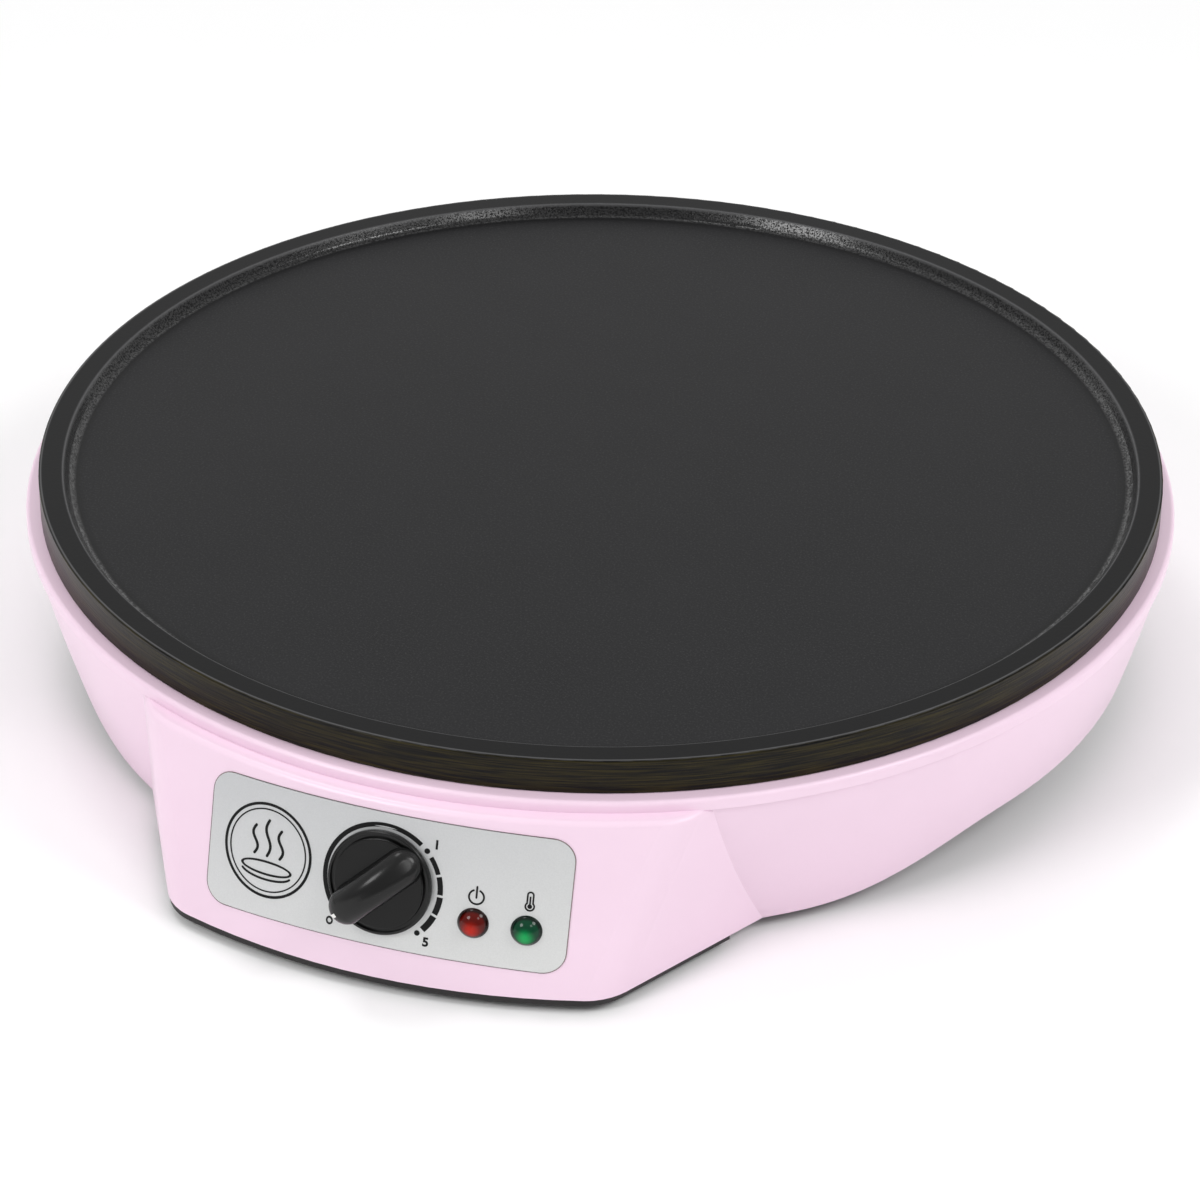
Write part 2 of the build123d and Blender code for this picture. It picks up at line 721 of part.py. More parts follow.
def make_bottom_cover():
    lip_top = base_z + screw_pad_height - cover_gap
    floor = body_form(cover_inset, base_z, base_z + cover_thickness)
    floor &= front_part(arch_front, base_z, disc_top_z)
    lip = body_form(cover_inset, base_z, lip_top) - body_form(cover_inset + cover_lip_wall, base_z, lip_top)
    lip &= front_part(arch_front, base_z + 0.5, lip_top)
    bulkhead = round_form(cover_inset, base_z, disc_top_z) & front_part(arch_front, base_z, disc_top_z)
    bulkhead -= front_part(arch_front + cover_thickness, base_z - 1, disc_top_z + 1)
    disc = round_form(cover_inset, disc_low_z, disc_top_z)
    disc -= front_part(arch_front + cover_thickness, disc_low_z - 1, disc_top_z + 1)
    trim = body_form(trim_inset, base_z, shell_edge_height) & front_part(trim_end, base_z, shell_edge_height)
    cover = floor + lip + bulkhead + disc + trim
    # Posts for the rear feet, which run into the disc, and pads for the screws
    for x, y, _ in rear_feet:
        height = disc_low_z - base_z + cover_thickness / 2
        cover += Pos(x, y, base_z) * Cone(post_foot_radius, post_top_radius, height,
                                          align=(Align.CENTER, Align.CENTER, Align.MIN))
    for x, y, z in cover_screw_places:
        cover += rod((x, y, z), screw_pad_radius, screw_pad_height)
    for x, y, z in cover_screw_places:
        cover -= rod((x, y, z), counterbore_radius, counterbore_depth)
        cover -= rod((x, y, z), cover_screw_radius + screw_passage, screw_pad_height)
    # Holes for the feet's stems, the recess of each rear foot, and the terminal block's screw
    for x, y, _ in front_feet:
        cover -= rod((x, y, base_z), foot_stem_radius + slip, foot_stem_length + slip)
    for x, y, _ in rear_feet:
        cover -= rod((x, y, base_z), foot_radius + slip, post_recess)
        cover -= rod((x, y, base_z), foot_stem_radius + slip, post_recess + foot_stem_length + slip)
    cover -= rod((0, block_station, disc_low_z), cover_screw_radius + screw_passage, cover_thickness)
    return cover


def make_foot(place, height):
    x, y, _ = place
    pad = rod((x, y, 0), foot_radius, height)
    pad = fillet(pad.edges().group_by(Axis.Z)[0], foot_corner_radius)
    return pad + rod((x, y, height), foot_stem_radius, foot_stem_length)


def make_cover_screws():
    screw = pan_screw(cover_head_radius, cover_head_height, cover_screw_radius,
                      screw_pad_height - counterbore_depth + cover_screw_bite)
    return [Pos(x, y, z + counterbore_depth) * screw for x, y, z in cover_screw_places]


# ---- fascia, lamps, thermostat and knob ---------------------------------------------------------

def make_fascia():
    fascia = face_layer(fascia_proud, fascia_recess, 0)
    fascia -= extrude(knob_plane * Pos(0, 0, -5) * Circle(nut_pocket_radius), 10)
    for plane in lamp_planes:
        fascia -= extrude(plane * Pos(0, 0, -5) * Circle(lens_stem_radius + slip), 10)
    return fascia


def make_lens(plane):
    cap_radius = (lens_radius ** 2 + lens_height ** 2) / (2 * lens_height)
    half = Polyline((0, lens_height), (0, -lens_stem_length), (lens_stem_radius, -lens_stem_length),
                    (lens_stem_radius, 0), (lens_radius, 0))
    cap_middle = lens_height - cap_radius
    half_angle = radians(45) * lens_radius / cap_radius
    between = (cap_radius * sin(half_angle), cap_middle + cap_radius * cos(half_angle))
    cap = ThreePointArc((lens_radius, 0), between, (0, lens_height))
    lens = revolve(Plane.XZ * make_face(half.edges() + cap.edges()), Axis.Z)
    return plane * lens


def make_lamp_holder(plane):
    sleeve = rod((0, 0, holder_end), holder_radius, holder_length)
    sleeve -= rod((0, 0, holder_end + holder_floor), lens_stem_radius + slip, holder_length)
    return plane * sleeve


def make_neon(plane):
    bulb = rod((0, 0, holder_end + holder_floor), neon_radius, neon_length)
    return plane * fillet(bulb.edges().group_by(Axis.Z)[-1], 0.8 * neon_radius)


def make_thermostat():
    width, height, depth = thermostat_size
    body = Pos(0, 0, boss_pad_end - depth / 2) * Box(width, height, depth)
    body = fillet(body.edges().filter_by(Axis.Z), thermostat_corner_radius)
    body += rod((0, 0, boss_pad_end), bush_radius, bush_top - boss_pad_end)
    body -= rod((0, 0, boss_pad_end - shaft_bore_depth), shaft_radius + slip, beyond_everything)
    return knob_plane * body


def make_thermostat_tabs():
    tabs = []
    for side in (-1, 1):
        place = Pos(side * thermostat_tab_spacing / 2, thermostat_tab_rise, thermostat_rear - tab_length / 2)
        tabs.append(knob_plane * place * Box(tab_width, tab_thickness, tab_length))
    return tabs


def make_thermostat_nut():
    nut = extrude(RegularPolygon(nut_across_flats / 2, 6, major_radius=False), nut_height)
    nut -= rod((0, 0, -1), bush_radius + slip, 2 * nut_height)
    return knob_plane * Pos(0, 0, nut_pocket_floor) * nut


pointer_turn = Rot(0, 0, off_angle + 90)        # turns local +X onto the pointer's direction


def make_shaft():
    low = boss_pad_end - shaft_bore_depth + slip
    shaft = rod((0, 0, low), shaft_radius, shaft_top - low)
    flat = Pos(-shaft_flat - shaft_radius, 0, (shaft_flat_start + shaft_top) / 2)
    shaft -= flat * Box(2 * shaft_radius, 4 * shaft_radius, shaft_top - shaft_flat_start)
    return knob_plane * pointer_turn * shaft


def make_grip():
    """Bar across the dial, from the pointer's tip (+X) to its tail, crowned along its length."""
    length = grip_tip_reach + grip_tail_reach
    middle = (grip_tip_reach - grip_tail_reach) / 2
    plan = Pos(middle, 0) * SlotOverall(length, 2 * grip_half_width)
    highest = max(height for _, height in grip_crown)
    foot = dial_top - dial_corner_radius
    bar = extrude(Pos(0, 0, foot) * plan, highest, taper=grip_side_draft)
    crown = Spline(*grip_crown)
    nose, heel = crown @ 0, crown @ 1
    rest = Polyline(heel, (heel.X, foot), (nose.X, foot), nose)
    side_view = make_face(crown.edges() + rest.edges())
    side_view = extrude(Plane.XZ.offset(-knob_radius) * side_view, 2 * knob_radius)
    bar = bar & side_view
    crown_face = max(bar.faces(), key=lambda face: face.center().Z)
    return fillet(crown_face.edges(), grip_half_width - grip_crown_flat)


def make_knob():
    collar = rod((0, 0, knob_gap), knob_radius, collar_top - knob_gap)
    collar = fillet(collar.edges().group_by(Axis.Z)[-1], collar_corner_radius)
    groove = rod((0, 0, collar_top - groove_depth), dial_radius + groove_width, dial_top)
    groove -= rod((0, 0, collar_top - groove_depth), dial_radius, dial_top)
    dial = rod((0, 0, knob_gap), dial_radius, dial_top - knob_gap)
    dial = fillet(dial.edges().group_by(Axis.Z)[-1], dial_corner_radius)
    knob = collar - groove + dial + make_grip()
    knob -= rod((0, 0, 0), hollow_radius, hollow_top)
    bore = rod((0, 0, 0), shaft_radius + slip, shaft_top + slip)
    flat = Pos(-shaft_flat - slip - shaft_radius, 0, 0)
    bore -= flat * Box(2 * shaft_radius, 4 * shaft_radius, 3 * shaft_top)
    return knob_plane * pointer_turn * (knob - bore)


# ---- terminal block, earth and cord bush --------------------------------------------------------

cord_pad_station = skirt_radius(cord_bush_height + cord_bush_flange_radius) + seat_gap
cord_pad_inner = skirt_radius(cord_bush_height - cord_pad_radius, shell_wall) - seat_gap
block_front = block_station - block_size[1] / 2
block_way_z = disc_top_z + block_way_rise


def make_terminal_block():
    width, depth, height = block_size
    align = (Align.CENTER, Align.CENTER, Align.MIN)
    block = Pos(0, block_station, disc_top_z) * Box(width, depth, height, align=align)
    block = chamfer(block.edges().group_by(Axis.Z)[-1], block_chamfer)
    for index in (-1, 0, 1):
        spot = (index * block_way_spacing, block_station, disc_top_z + height - block_way_depth)
        block -= rod(spot, block_way_radius, height)
    return block - rod((0, block_station, disc_top_z), cover_screw_radius + slip, block_screw_bite)


def make_terminal_block_screw():
    screw = pan_screw(cover_head_radius, cover_head_height, cover_screw_radius,
                      cover_thickness + block_screw_bite - slip)
    return Pos(0, block_station, disc_low_z) * screw


earth_turn = 135.0                              # the tag's tail points towards the terminal block
earth_tail_direction = Vector(cos(radians(earth_turn)), sin(radians(earth_turn)), 0)
earth_barrel_drop = earth_barrel_radius + seat_gap
earth_lead_start = (Vector(*earth_place, reflector_low_z - earth_barrel_drop)
                    + earth_tail_direction * (earth_tail + earth_barrel_length))


def make_earth_tag():
    middle = -tab_thickness / 2
    ring = Pos(0, 0, middle) * Cylinder(plate_head_radius, tab_thickness)
    neck = Pos(earth_tail / 2, 0, middle) * Box(earth_tail, 0.8 * plate_head_radius, tab_thickness)
    barrel_place = Pos(earth_tail + earth_barrel_length / 2, 0, -earth_barrel_drop)
    barrel = barrel_place * Rot(0, 90, 0) * Cylinder(earth_barrel_radius, earth_barrel_length)
    web = Pos(earth_tail, 0, -earth_barrel_drop / 2)
    web *= Box(tab_thickness, tab_thickness, earth_barrel_drop)
    tag = ring + neck + web + barrel
    tag -= Cylinder(plate_screw_radius + screw_passage, 4 * tab_thickness)
    return Pos(*earth_place, reflector_low_z) * Rot(0, 0, earth_turn) * tag


def make_earth_screw():
    screw = pan_screw(plate_head_radius, plate_head_height, plate_screw_radius,
                      tab_thickness + reflector_sheet + earth_screw_bite)
    return Pos(*earth_place, reflector_low_z - tab_thickness) * screw


def make_cord_bush():
    outer_face = cord_pad_station + cord_bush_flange
    inner_face = cord_pad_inner - cord_bush_flange
    neck = Cylinder(cord_bush_neck_radius, outer_face - inner_face)
    outer_flange = Pos(0, 0, (outer_face - inner_face - cord_bush_flange) / 2)
    outer_flange *= Cylinder(cord_bush_flange_radius, cord_bush_flange)
    outer_flange = fillet(outer_flange.edges().group_by(Axis.Z)[-1], cord_bush_corner_radius)
    inner_flange = Pos(0, 0, -(outer_face - inner_face - cord_bush_flange) / 2)
    inner_flange *= Cylinder(cord_bush_flange_radius, cord_bush_flange)
    bush = neck + outer_flange + inner_flange
    bush -= Cylinder(cord_bore_radius, 2 * (outer_face - inner_face))
    place = Plane(origin=(0, (outer_face + inner_face) / 2, cord_bush_height), z_dir=(0, 1, 0))
    return place * bush


# ---- leads and capillary ------------------------------------------------------------------------

lead_z = disc_top_z + lead_rise
left_tail, right_tail = element_tail_places


def at_knob(across, up, out):
    """Point in the knob's frame, as a tuple."""
    return tuple(knob_plane.from_local_coords(Vector(across, up, out)))


def way(index):
    """Front of one way of the terminal block."""
    return (index * block_way_spacing, block_front, block_way_z)


def make_lead_live():
    half = thermostat_tab_spacing / 2
    entry = at_knob(-half, thermostat_tab_rise, thermostat_tab_end - lead_tab_run)
    points = [way(-1), (-block_way_spacing, block_front - live_block_run, block_way_z),
              (-live_across, live_back, lead_z), (-live_across, -live_front, lead_z),
              (-live_turn[0], entry[1] + live_turn[1], lead_z), entry,
              at_knob(-half, thermostat_tab_rise, thermostat_tab_end)]
    return tube(points, lead_radius, lead_bend)


def make_lead_switched():
    half = thermostat_tab_spacing / 2
    points = [at_knob(half, thermostat_tab_rise, thermostat_tab_end),
              at_knob(half, thermostat_tab_rise, thermostat_tab_end - lead_tab_run),
              (right_tail.X, right_tail.Y - tail_run, lead_z), (right_tail.X, right_tail.Y, lead_z),
              (right_tail.X, right_tail.Y, tab_end_z)]
    return tube(points, lead_radius, lead_close_bend)


def make_lead_neutral_supply():
    x, y = fuse_drops[1]
    points = [way(0), (0, block_front - neutral_block_run, block_way_z),
              (x, y + neutral_approach, lead_z), (x, y, lead_z),
              (x, y, fuse_z), (x, fuse_place[1] + fuse_length / 2, fuse_z)]
    return tube(points, lead_radius, lead_bend)


def make_lead_neutral_return():
    x, y = fuse_drops[0]
    points = [(x, fuse_place[1] - fuse_length / 2, fuse_z), (x, y, fuse_z), (x, y, lead_z),
              (left_tail.X, left_tail.Y + tail_approach, lead_z), (left_tail.X, left_tail.Y, lead_z),
              (left_tail.X, left_tail.Y, tab_end_z)]
    return tube(points, lead_radius, lead_close_bend)


def make_lead_earth():
    end = earth_lead_start
    points = [way(1), (block_way_spacing, block_front - earth_block_run, block_way_z),
              tuple(end + earth_tail_direction * earth_run), tuple(end)]
    return tube(points, lead_radius, lead_close_bend)


def make_lamp_leads():
    leads = []
    for plane, depth, up in zip(lamp_planes, lamp_lead_depths, lamp_lead_heights):
        start = plane.from_local_coords(Vector(0, 0, holder_end))
        turn = plane.from_local_coords(Vector(0, 0, holder_end - depth))
        turn_out = knob_plane.to_local_coords(turn).Z
        points = [tuple(start), tuple(turn), at_knob(lamp_lead_across, up, turn_out),
                  at_knob(lamp_lead_across, up, thermostat_rear)]
        leads.append(tube(points, lamp_lead_radius, lamp_lead_bend))
    return leads


def make_capillary():
    x, y = capillary_drop
    bulb_end = bulb_place[1] - bulb_length / 2
    low_z = disc_top_z + 2 * capillary_radius
    entry = at_knob(0, -capillary_port_drop, thermostat_rear - capillary_port_run)
    corners = [(across, entry[1] + behind, low_z) for across, behind in capillary_corners]
    points = [(bulb_place[0], bulb_end, bulb_z), (bulb_place[0], bulb_end - capillary_bulb_run, bulb_z),
              (x, y, bulb_z), (x, y, low_z), *corners, entry,
              at_knob(0, -capillary_port_drop, thermostat_rear)]
    return tube(points, capillary_radius, capillary_bend)


# ---- all pieces ---------------------------------------------------------------------------------

pieces = {
    "baking_plate": make_baking_plate(),
    "heating_element": make_heating_element(),
    "element_beads": make_element_beads(),
    "element_tabs": make_element_tabs(),
    "element_saddles": make_saddles("element"),
    "element_saddle_screws": make_saddle_screws("element"),
    "thermal_fuse": make_thermal_fuse(),
    "fuse_saddle": make_saddles("fuse"),
    "fuse_saddle_screws": make_saddle_screws("fuse"),
    "sensor_bulb": make_sensor_bulb(),
    "bulb_saddle": make_saddles("bulb"),
    "bulb_saddle_screws": make_saddle_screws("bulb"),
    "capillary_tube": make_capillary(),
    "heat_reflector": make_heat_reflector(),
    "spacer_sleeves": make_spacer_sleeves(),
    "plate_screws": make_plate_screws(),
    "housing": make_housing(),
    "bottom_cover": make_bottom_cover(),
    "cover_screws": make_cover_screws(),
    "front_feet": [make_foot(place, foot_drop) for place in front_feet],
    "rear_feet": [make_foot(place, foot_drop + post_recess) for place in rear_feet],
    "control_fascia": make_fascia(),
    "red_lens": make_lens(lamp_planes[0]),
    "green_lens": make_lens(lamp_planes[1]),
    "lamp_holders": [make_lamp_holder(plane) for plane in lamp_planes],
    "neon_lamps": [make_neon(plane) for plane in lamp_planes],
    "lamp_leads": make_lamp_leads(),
    "thermostat": make_thermostat(),
    "thermostat_tabs": make_thermostat_tabs(),
    "thermostat_nut": make_thermostat_nut(),
    "thermostat_shaft": make_shaft(),
    "control_knob": make_knob(),
    "terminal_block": make_terminal_block(),
    "terminal_block_screw": make_terminal_block_screw(),
    "earth_tag": make_earth_tag(),
    "earth_screw": make_earth_screw(),
    "cord_bush": make_cord_bush(),
    "lead_live": make_lead_live(),
    "lead_switched": make_lead_switched(),
    "lead_neutral_supply": make_lead_neutral_supply(),
    "lead_neutral_return": make_lead_neutral_return(),
    "lead_earth": make_lead_earth(),
}

# The plate's axis lies behind the middle of the whole appliance, from the knob to the cord bush.
front_reach = -pieces["control_knob"].bounding_box().min.Y
rear_reach = cord_pad_station + cord_bush_flange
to_origin = Pos(0, (front_reach - rear_reach) / 2, 0)

os.makedirs("parts", exist_ok=True)
for name, piece in pieces.items():
    solids = piece if isinstance(piece, list) else [piece]
    placed = [to_origin * solid for solid in solids]
    shape = placed[0] if len(placed) == 1 else Compound(children=placed)
    export_step(shape, f"parts/{name}.step")
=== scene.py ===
from math import asin, atan2, cos, pi, radians, sin, sqrt, tan

import bmesh
import bpy
from mathutils import Matrix, Vector
from mathutils.bvhtree import BVHTree


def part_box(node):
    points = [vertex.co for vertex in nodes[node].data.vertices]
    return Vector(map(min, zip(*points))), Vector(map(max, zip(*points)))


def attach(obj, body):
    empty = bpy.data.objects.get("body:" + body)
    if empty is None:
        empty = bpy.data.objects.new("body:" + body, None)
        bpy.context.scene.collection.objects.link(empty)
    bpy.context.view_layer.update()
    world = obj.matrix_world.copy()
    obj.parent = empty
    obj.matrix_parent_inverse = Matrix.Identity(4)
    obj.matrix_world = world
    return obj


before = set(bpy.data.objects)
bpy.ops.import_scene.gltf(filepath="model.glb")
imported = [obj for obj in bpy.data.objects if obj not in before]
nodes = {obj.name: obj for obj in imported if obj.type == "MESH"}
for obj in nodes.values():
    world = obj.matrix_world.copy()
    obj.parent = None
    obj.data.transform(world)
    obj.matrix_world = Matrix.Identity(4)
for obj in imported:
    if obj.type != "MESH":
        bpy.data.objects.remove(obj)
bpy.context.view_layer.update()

# Electric crepe maker. Lengths are in millimetres and become metres where a mesh is made.
MM = 0.001

plate_low, plate_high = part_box("baking_plate")
PLATE_AXIS = (plate_low.y + plate_high.y) / 2 / MM      # the plate stands about x = 0, y = PLATE_AXIS
PLATE_TOP = plate_high.z / MM
PLATE_RADIUS = plate_high.x / MM
PLATE_MIDDLE = Vector((0, PLATE_AXIS, PLATE_TOP))       # camera and lights are aimed from here
PLATE_RECESS = PLATE_RADIUS - 6.4                       # inside of the lip
PLATE_FLOOR_EDGE = PLATE_RECESS - 3.1                   # where the floor runs into the recess's wall


# ---- camera and light ---------------------------------------------------------------------------

CAMERA_DISTANCE = 1184.5
CAMERA_ELEVATION = radians(30.101)
CAMERA_AZIMUTH = radians(18.8)                          # towards the right of the control face
CAMERA_TURNS = (("Y", -0.007), ("X", -1.985), ("Z", 0.61))      # degrees, off the plate's middle
LENS_LENGTH = 132.43
SENSOR_WIDTH = 36.0
FARTHEST_SEEN = 50.0                                    # metres


def direction(azimuth, elevation):
    """Unit vector from the middle of the plate: azimuth from straight in front, towards the right."""
    return Vector((cos(elevation) * sin(azimuth), -cos(elevation) * cos(azimuth), sin(elevation)))


def place_camera():
    back = direction(CAMERA_AZIMUTH, CAMERA_ELEVATION)
    right = Vector((cos(CAMERA_AZIMUTH), sin(CAMERA_AZIMUTH), 0))
    aim = Matrix((right, back.cross(right), back)).transposed()
    for axis, angle in CAMERA_TURNS:
        aim = aim @ Matrix.Rotation(radians(angle), 3, axis)
    camera = bpy.data.objects.new("camera", bpy.data.cameras.new("camera"))
    camera.data.lens = LENS_LENGTH
    camera.data.sensor_width = SENSOR_WIDTH
    camera.data.clip_end = FARTHEST_SEEN
    stand = (PLATE_MIDDLE + back * CAMERA_DISTANCE) * MM
    camera.matrix_world = Matrix.Translation(stand) @ aim.to_4x4()
    bpy.context.scene.collection.objects.link(camera)
    bpy.context.scene.camera = camera


def hang_softbox(name, azimuth, elevation, distance, size, power):
    """Round soft light, its distance and size in metres, aimed at the middle of the plate."""
    light = bpy.data.lights.new(name, "AREA")
    light.shape = "ELLIPSE"
    light.size = light.size_y = size
    light.energy = power
    lamp = bpy.data.objects.new(name, light)
    outward = direction(radians(azimuth), radians(elevation))
    aim = outward.to_track_quat("Z", "Y").to_matrix().to_4x4()
    lamp.matrix_world = Matrix.Translation(PLATE_MIDDLE * MM + outward * distance) @ aim
    bpy.context.scene.collection.objects.link(lamp)


# ---- finishes -----------------------------------------------------------------------------------

FLOW_SIZE = 30.0            # patches in which a moulding's colour drifts
MOST_NOISE = (0.3, 0.7)     # most of a noise's values lie between these


def linear(code):
    """Linear colour of an sRGB hex code."""
    channels = [int(code[start:start + 2], 16) / 255 for start in (1, 3, 5)]
    return [c / 12.92 if c <= 0.04045 else ((c + 0.055) / 1.055) ** 2.4 for c in channels] + [1.0]


def put(tree, kind, sockets=None, **settings):
    """Adds a node: settings are its properties, sockets its inputs, each a value or another's output."""
    node = tree.nodes.new("ShaderNode" + kind)
    for name, value in settings.items():
        setattr(node, name, value)
    for name, value in (sockets or {}).items():
        if isinstance(value, bpy.types.NodeSocket):
            tree.links.new(value, node.inputs[name])
        else:
            node.inputs[name].default_value = value
    return node


def blend(tree, share, first, second):
    """Colour between two others, each a hex code or another node's output."""
    ends = [linear(colour) if isinstance(colour, str) else colour for colour in (first, second)]
    return put(tree, "Mix", {0: share, 6: ends[0], 7: ends[1]}, data_type="RGBA").outputs[2]


def blend_numbers(tree, share, first, second):
    return put(tree, "Mix", {0: share, 2: first, 3: second}, data_type="FLOAT").outputs[0]


def ramp(tree, value, start, end, low=0.0, high=1.0, **settings):
    """Number that runs from low to high while value runs from start to end."""
    return put(tree, "MapRange", {"Value": value, "From Min": start, "From Max": end,
                                  "To Min": low, "To Max": high}, **settings).outputs["Result"]


def noise(tree, place, size, detail):
    """Clouded pattern whose patches are about size millimetres wide."""
    return put(tree, "TexNoise", {"Vector": place, "Scale": 1 / size, "Detail": detail}).outputs["Fac"]


def calculate(tree, operation, *values, **settings):
    return put(tree, "Math", dict(enumerate(values)), operation=operation, **settings).outputs["Value"]


def measure(tree, operation, *vectors):
    """Number taken from one or two vectors, by DOT_PRODUCT, DISTANCE or LENGTH."""
    return put(tree, "VectorMath", dict(enumerate(vectors)), operation=operation).outputs["Value"]


def move(tree, operation, *vectors):
    """Vector made of two others, by MULTIPLY or SUBTRACT."""
    return put(tree, "VectorMath", dict(enumerate(vectors)), operation=operation).outputs["Vector"]


def scale(tree, vector, factor):
    return put(tree, "VectorMath", {0: vector, "Scale": factor}, operation="SCALE").outputs["Vector"]


def relief(tree, height, depth, under=None):
    """Surface raised by a pattern, depth in millimetres, on top of another relief if there is one."""
    sockets = {"Height": height, "Distance": depth * MM}
    if under:
        sockets["Normal"] = under
    return put(tree, "Bump", sockets).outputs["Normal"]


def place_on_piece(tree):
    """Place on the piece in millimetres; it turns with the piece."""
    return scale(tree, put(tree, "TexCoord").outputs["Object"], 1 / MM)


def begin_finish(name, sockets):
    """New material with its shader's constants: its node tree, its shader and the place on the piece."""
    material = bpy.data.materials.new(name)
    material.use_nodes = True
    tree = material.node_tree
    tree.nodes.clear()
    shader = put(tree, "BsdfPrincipled", sockets)
    put(tree, "OutputMaterial", {"Surface": shader.outputs["BSDF"]})
    return material, tree, shader, place_on_piece(tree)


def moulded(name, colour, roughness, texture, depth, drift=0.06, ior=1.5, specular=0.5):
    """Injection-moulded piece: its colour drifts a little, and its tool's texture catches light."""
    sockets = {"Roughness": roughness, "IOR": ior, "Specular IOR Level": specular}
    material, tree, shader, place = begin_finish(name, sockets)
    flow = noise(tree, place, FLOW_SIZE, 2.0)
    shade = ramp(tree, flow, *MOST_NOISE, 1 - drift, 1 + drift)
    tree.links.new(scale(tree, linear(colour)[:3], shade), shader.inputs["Base Color"])
    tool = noise(tree, place, texture, 3.0)
    gloss = ramp(tree, tool, *MOST_NOISE, 0.97 * roughness, 1.03 * roughness)
    tree.links.new(gloss, shader.inputs["Roughness"])
    tree.links.new(relief(tree, tool, depth), shader.inputs["Normal"])
    return material


def metal(name, colour, stain, roughness, spangle, depth, stretch=(1.0, 1.0, 1.0)):
    """Metal piece: spangle is the size of its patches or rubbed marks, drawn out along stretch."""
    material, tree, shader, place = begin_finish(name, {"Roughness": roughness, "Metallic": 1.0})
    patches = noise(tree, move(tree, "MULTIPLY", place, stretch), spangle, 4.0)
    spread = ramp(tree, patches, 0.35, 0.65)
    tree.links.new(blend(tree, spread, colour, stain), shader.inputs["Base Color"])
    gloss = ramp(tree, patches, *MOST_NOISE, 0.8 * roughness, 1.2 * roughness)
    tree.links.new(gloss, shader.inputs["Roughness"])
    tree.links.new(relief(tree, patches, depth), shader.inputs["Normal"])
    return material


# ---- the baking plate ---------------------------------------------------------------------------

FLOOR_ROUGHNESS = 0.42
WALL_ROUGHNESS = 0.29
SIDE_ROUGHNESS = 0.33
# Edges of the lip, painted lighter: partly rubbed wear, partly a painted highlight
WORN_HIGHLIGHT_EDGES = ((PLATE_RECESS - 0.1, 0.45), (PLATE_RADIUS - 0.6, 0.35))     # radius and half width
WORN_HIGHLIGHT_SHARE = 0.75


def plate_zones(tree, reach):
    """Masks of the turned side, the lip, the recess's sloping wall, and that wall with its corner, which
    takes painted shade.
    """
    side = ramp(tree, reach, PLATE_RADIUS - 0.5, PLATE_RADIUS - 0.2)
    lip = ramp(tree, reach, PLATE_RECESS, PLATE_RECESS + 0.6)
    past_floor = ramp(tree, reach, PLATE_FLOOR_EDGE - 0.4, PLATE_FLOOR_EDGE + 0.4)
    before_lip = ramp(tree, reach, PLATE_RECESS - 0.5, PLATE_RECESS, 1.0, 0.0)
    corner = ramp(tree, reach, PLATE_FLOOR_EDGE - 2.5, PLATE_FLOOR_EDGE)
    wall = calculate(tree, "MULTIPLY", past_floor, before_lip)
    painted_corner_shade = calculate(tree, "MULTIPLY", corner, before_lip)
    return side, lip, wall, painted_corner_shade


def sprayed_nonstick():
    """PTFE non-stick coating, sprayed in grains on cast aluminium and baked: charcoal, satin, with fine
    lighter specks. The recess's sloping wall takes the spray in coarser wet grains that glint, and it
    is painted darker with the floor's corner as painted shade. The two edges of the lip are painted
    lighter, partly rubbed wear and partly a painted highlight on their rounded corners, and the
    plate's side, turned on a lathe before coating, keeps fine rings and a brown-black cast."""
    material, tree, shader, place = begin_finish("sprayed_nonstick", {
        "Roughness": FLOOR_ROUGHNESS, "IOR": 1.38, "Specular IOR Level": 0.26, "Coat Roughness": 0.18})
    level_place = move(tree, "MULTIPLY", place, (1.0, 1.0, 0.0))
    reach = measure(tree, "DISTANCE", level_place, (0.0, PLATE_AXIS, 0.0))
    side, lip, wall, painted_corner_shade = plate_zones(tree, reach)
    # Specks of about 0.5 mm, coarser than the real ones, which are too fine to show
    speck = ramp(tree, noise(tree, place, 0.55, 2.0), 0.52, 0.72)
    ground = blend(tree, noise(tree, place, 25.0, 3.0), "#121214", "#18181A")
    colour = blend(tree, speck, ground, "#2A2A2B")
    colour = blend(tree, lip, colour, "#050506")
    # Rings of the lathe: long round the side, fine along its height
    turned = noise(tree, move(tree, "MULTIPLY", place, (0.03, 0.03, 1.0)), 0.45, 3.0)
    flank = blend(tree, ramp(tree, turned, 0.4, 0.68), "#050403", "#2E280C")
    colour = blend(tree, side, colour, flank)
    # Painted shade: the sloping wall and the floor's corner beside it are painted darker
    colour = blend(tree, painted_corner_shade, colour, "#0E0E0F")
    # The lip's edges are painted lighter: partly rubbed wear, partly a painted highlight on their
    # rounded corners
    for radius, half_width in WORN_HIGHLIGHT_EDGES:
        away = calculate(tree, "ABSOLUTE", calculate(tree, "SUBTRACT", reach, radius))
        wear_and_highlight = ramp(tree, away, 0.0, half_width, WORN_HIGHLIGHT_SHARE, 0.0)
        colour = blend(tree, wear_and_highlight, colour, "#606061")
    tree.links.new(colour, shader.inputs["Base Color"])
    satin = blend_numbers(tree, wall, FLOOR_ROUGHNESS, WALL_ROUGHNESS)
    tree.links.new(blend_numbers(tree, side, satin, SIDE_ROUGHNESS), shader.inputs["Roughness"])
    grains = noise(tree, place, 0.5, 1.0)
    glint = ramp(tree, grains, 0.38, 0.6)
    tree.links.new(calculate(tree, "MULTIPLY", glint, wall), shader.inputs["Coat Weight"])
    # Relief: orange peel of the spray, wet grains on the wall, rings on the side
    peel = relief(tree, noise(tree, place, 1.1, 4.0), 0.02)
    wet = relief(tree, calculate(tree, "MULTIPLY", grains, wall), 0.12, under=peel)
    ringed = relief(tree, calculate(tree, "MULTIPLY", turned, side), 0.06, under=wet)
    tree.links.new(ringed, shader.inputs["Normal"])
    return material


# ---- finishes of the control face ---------------------------------------------------------------

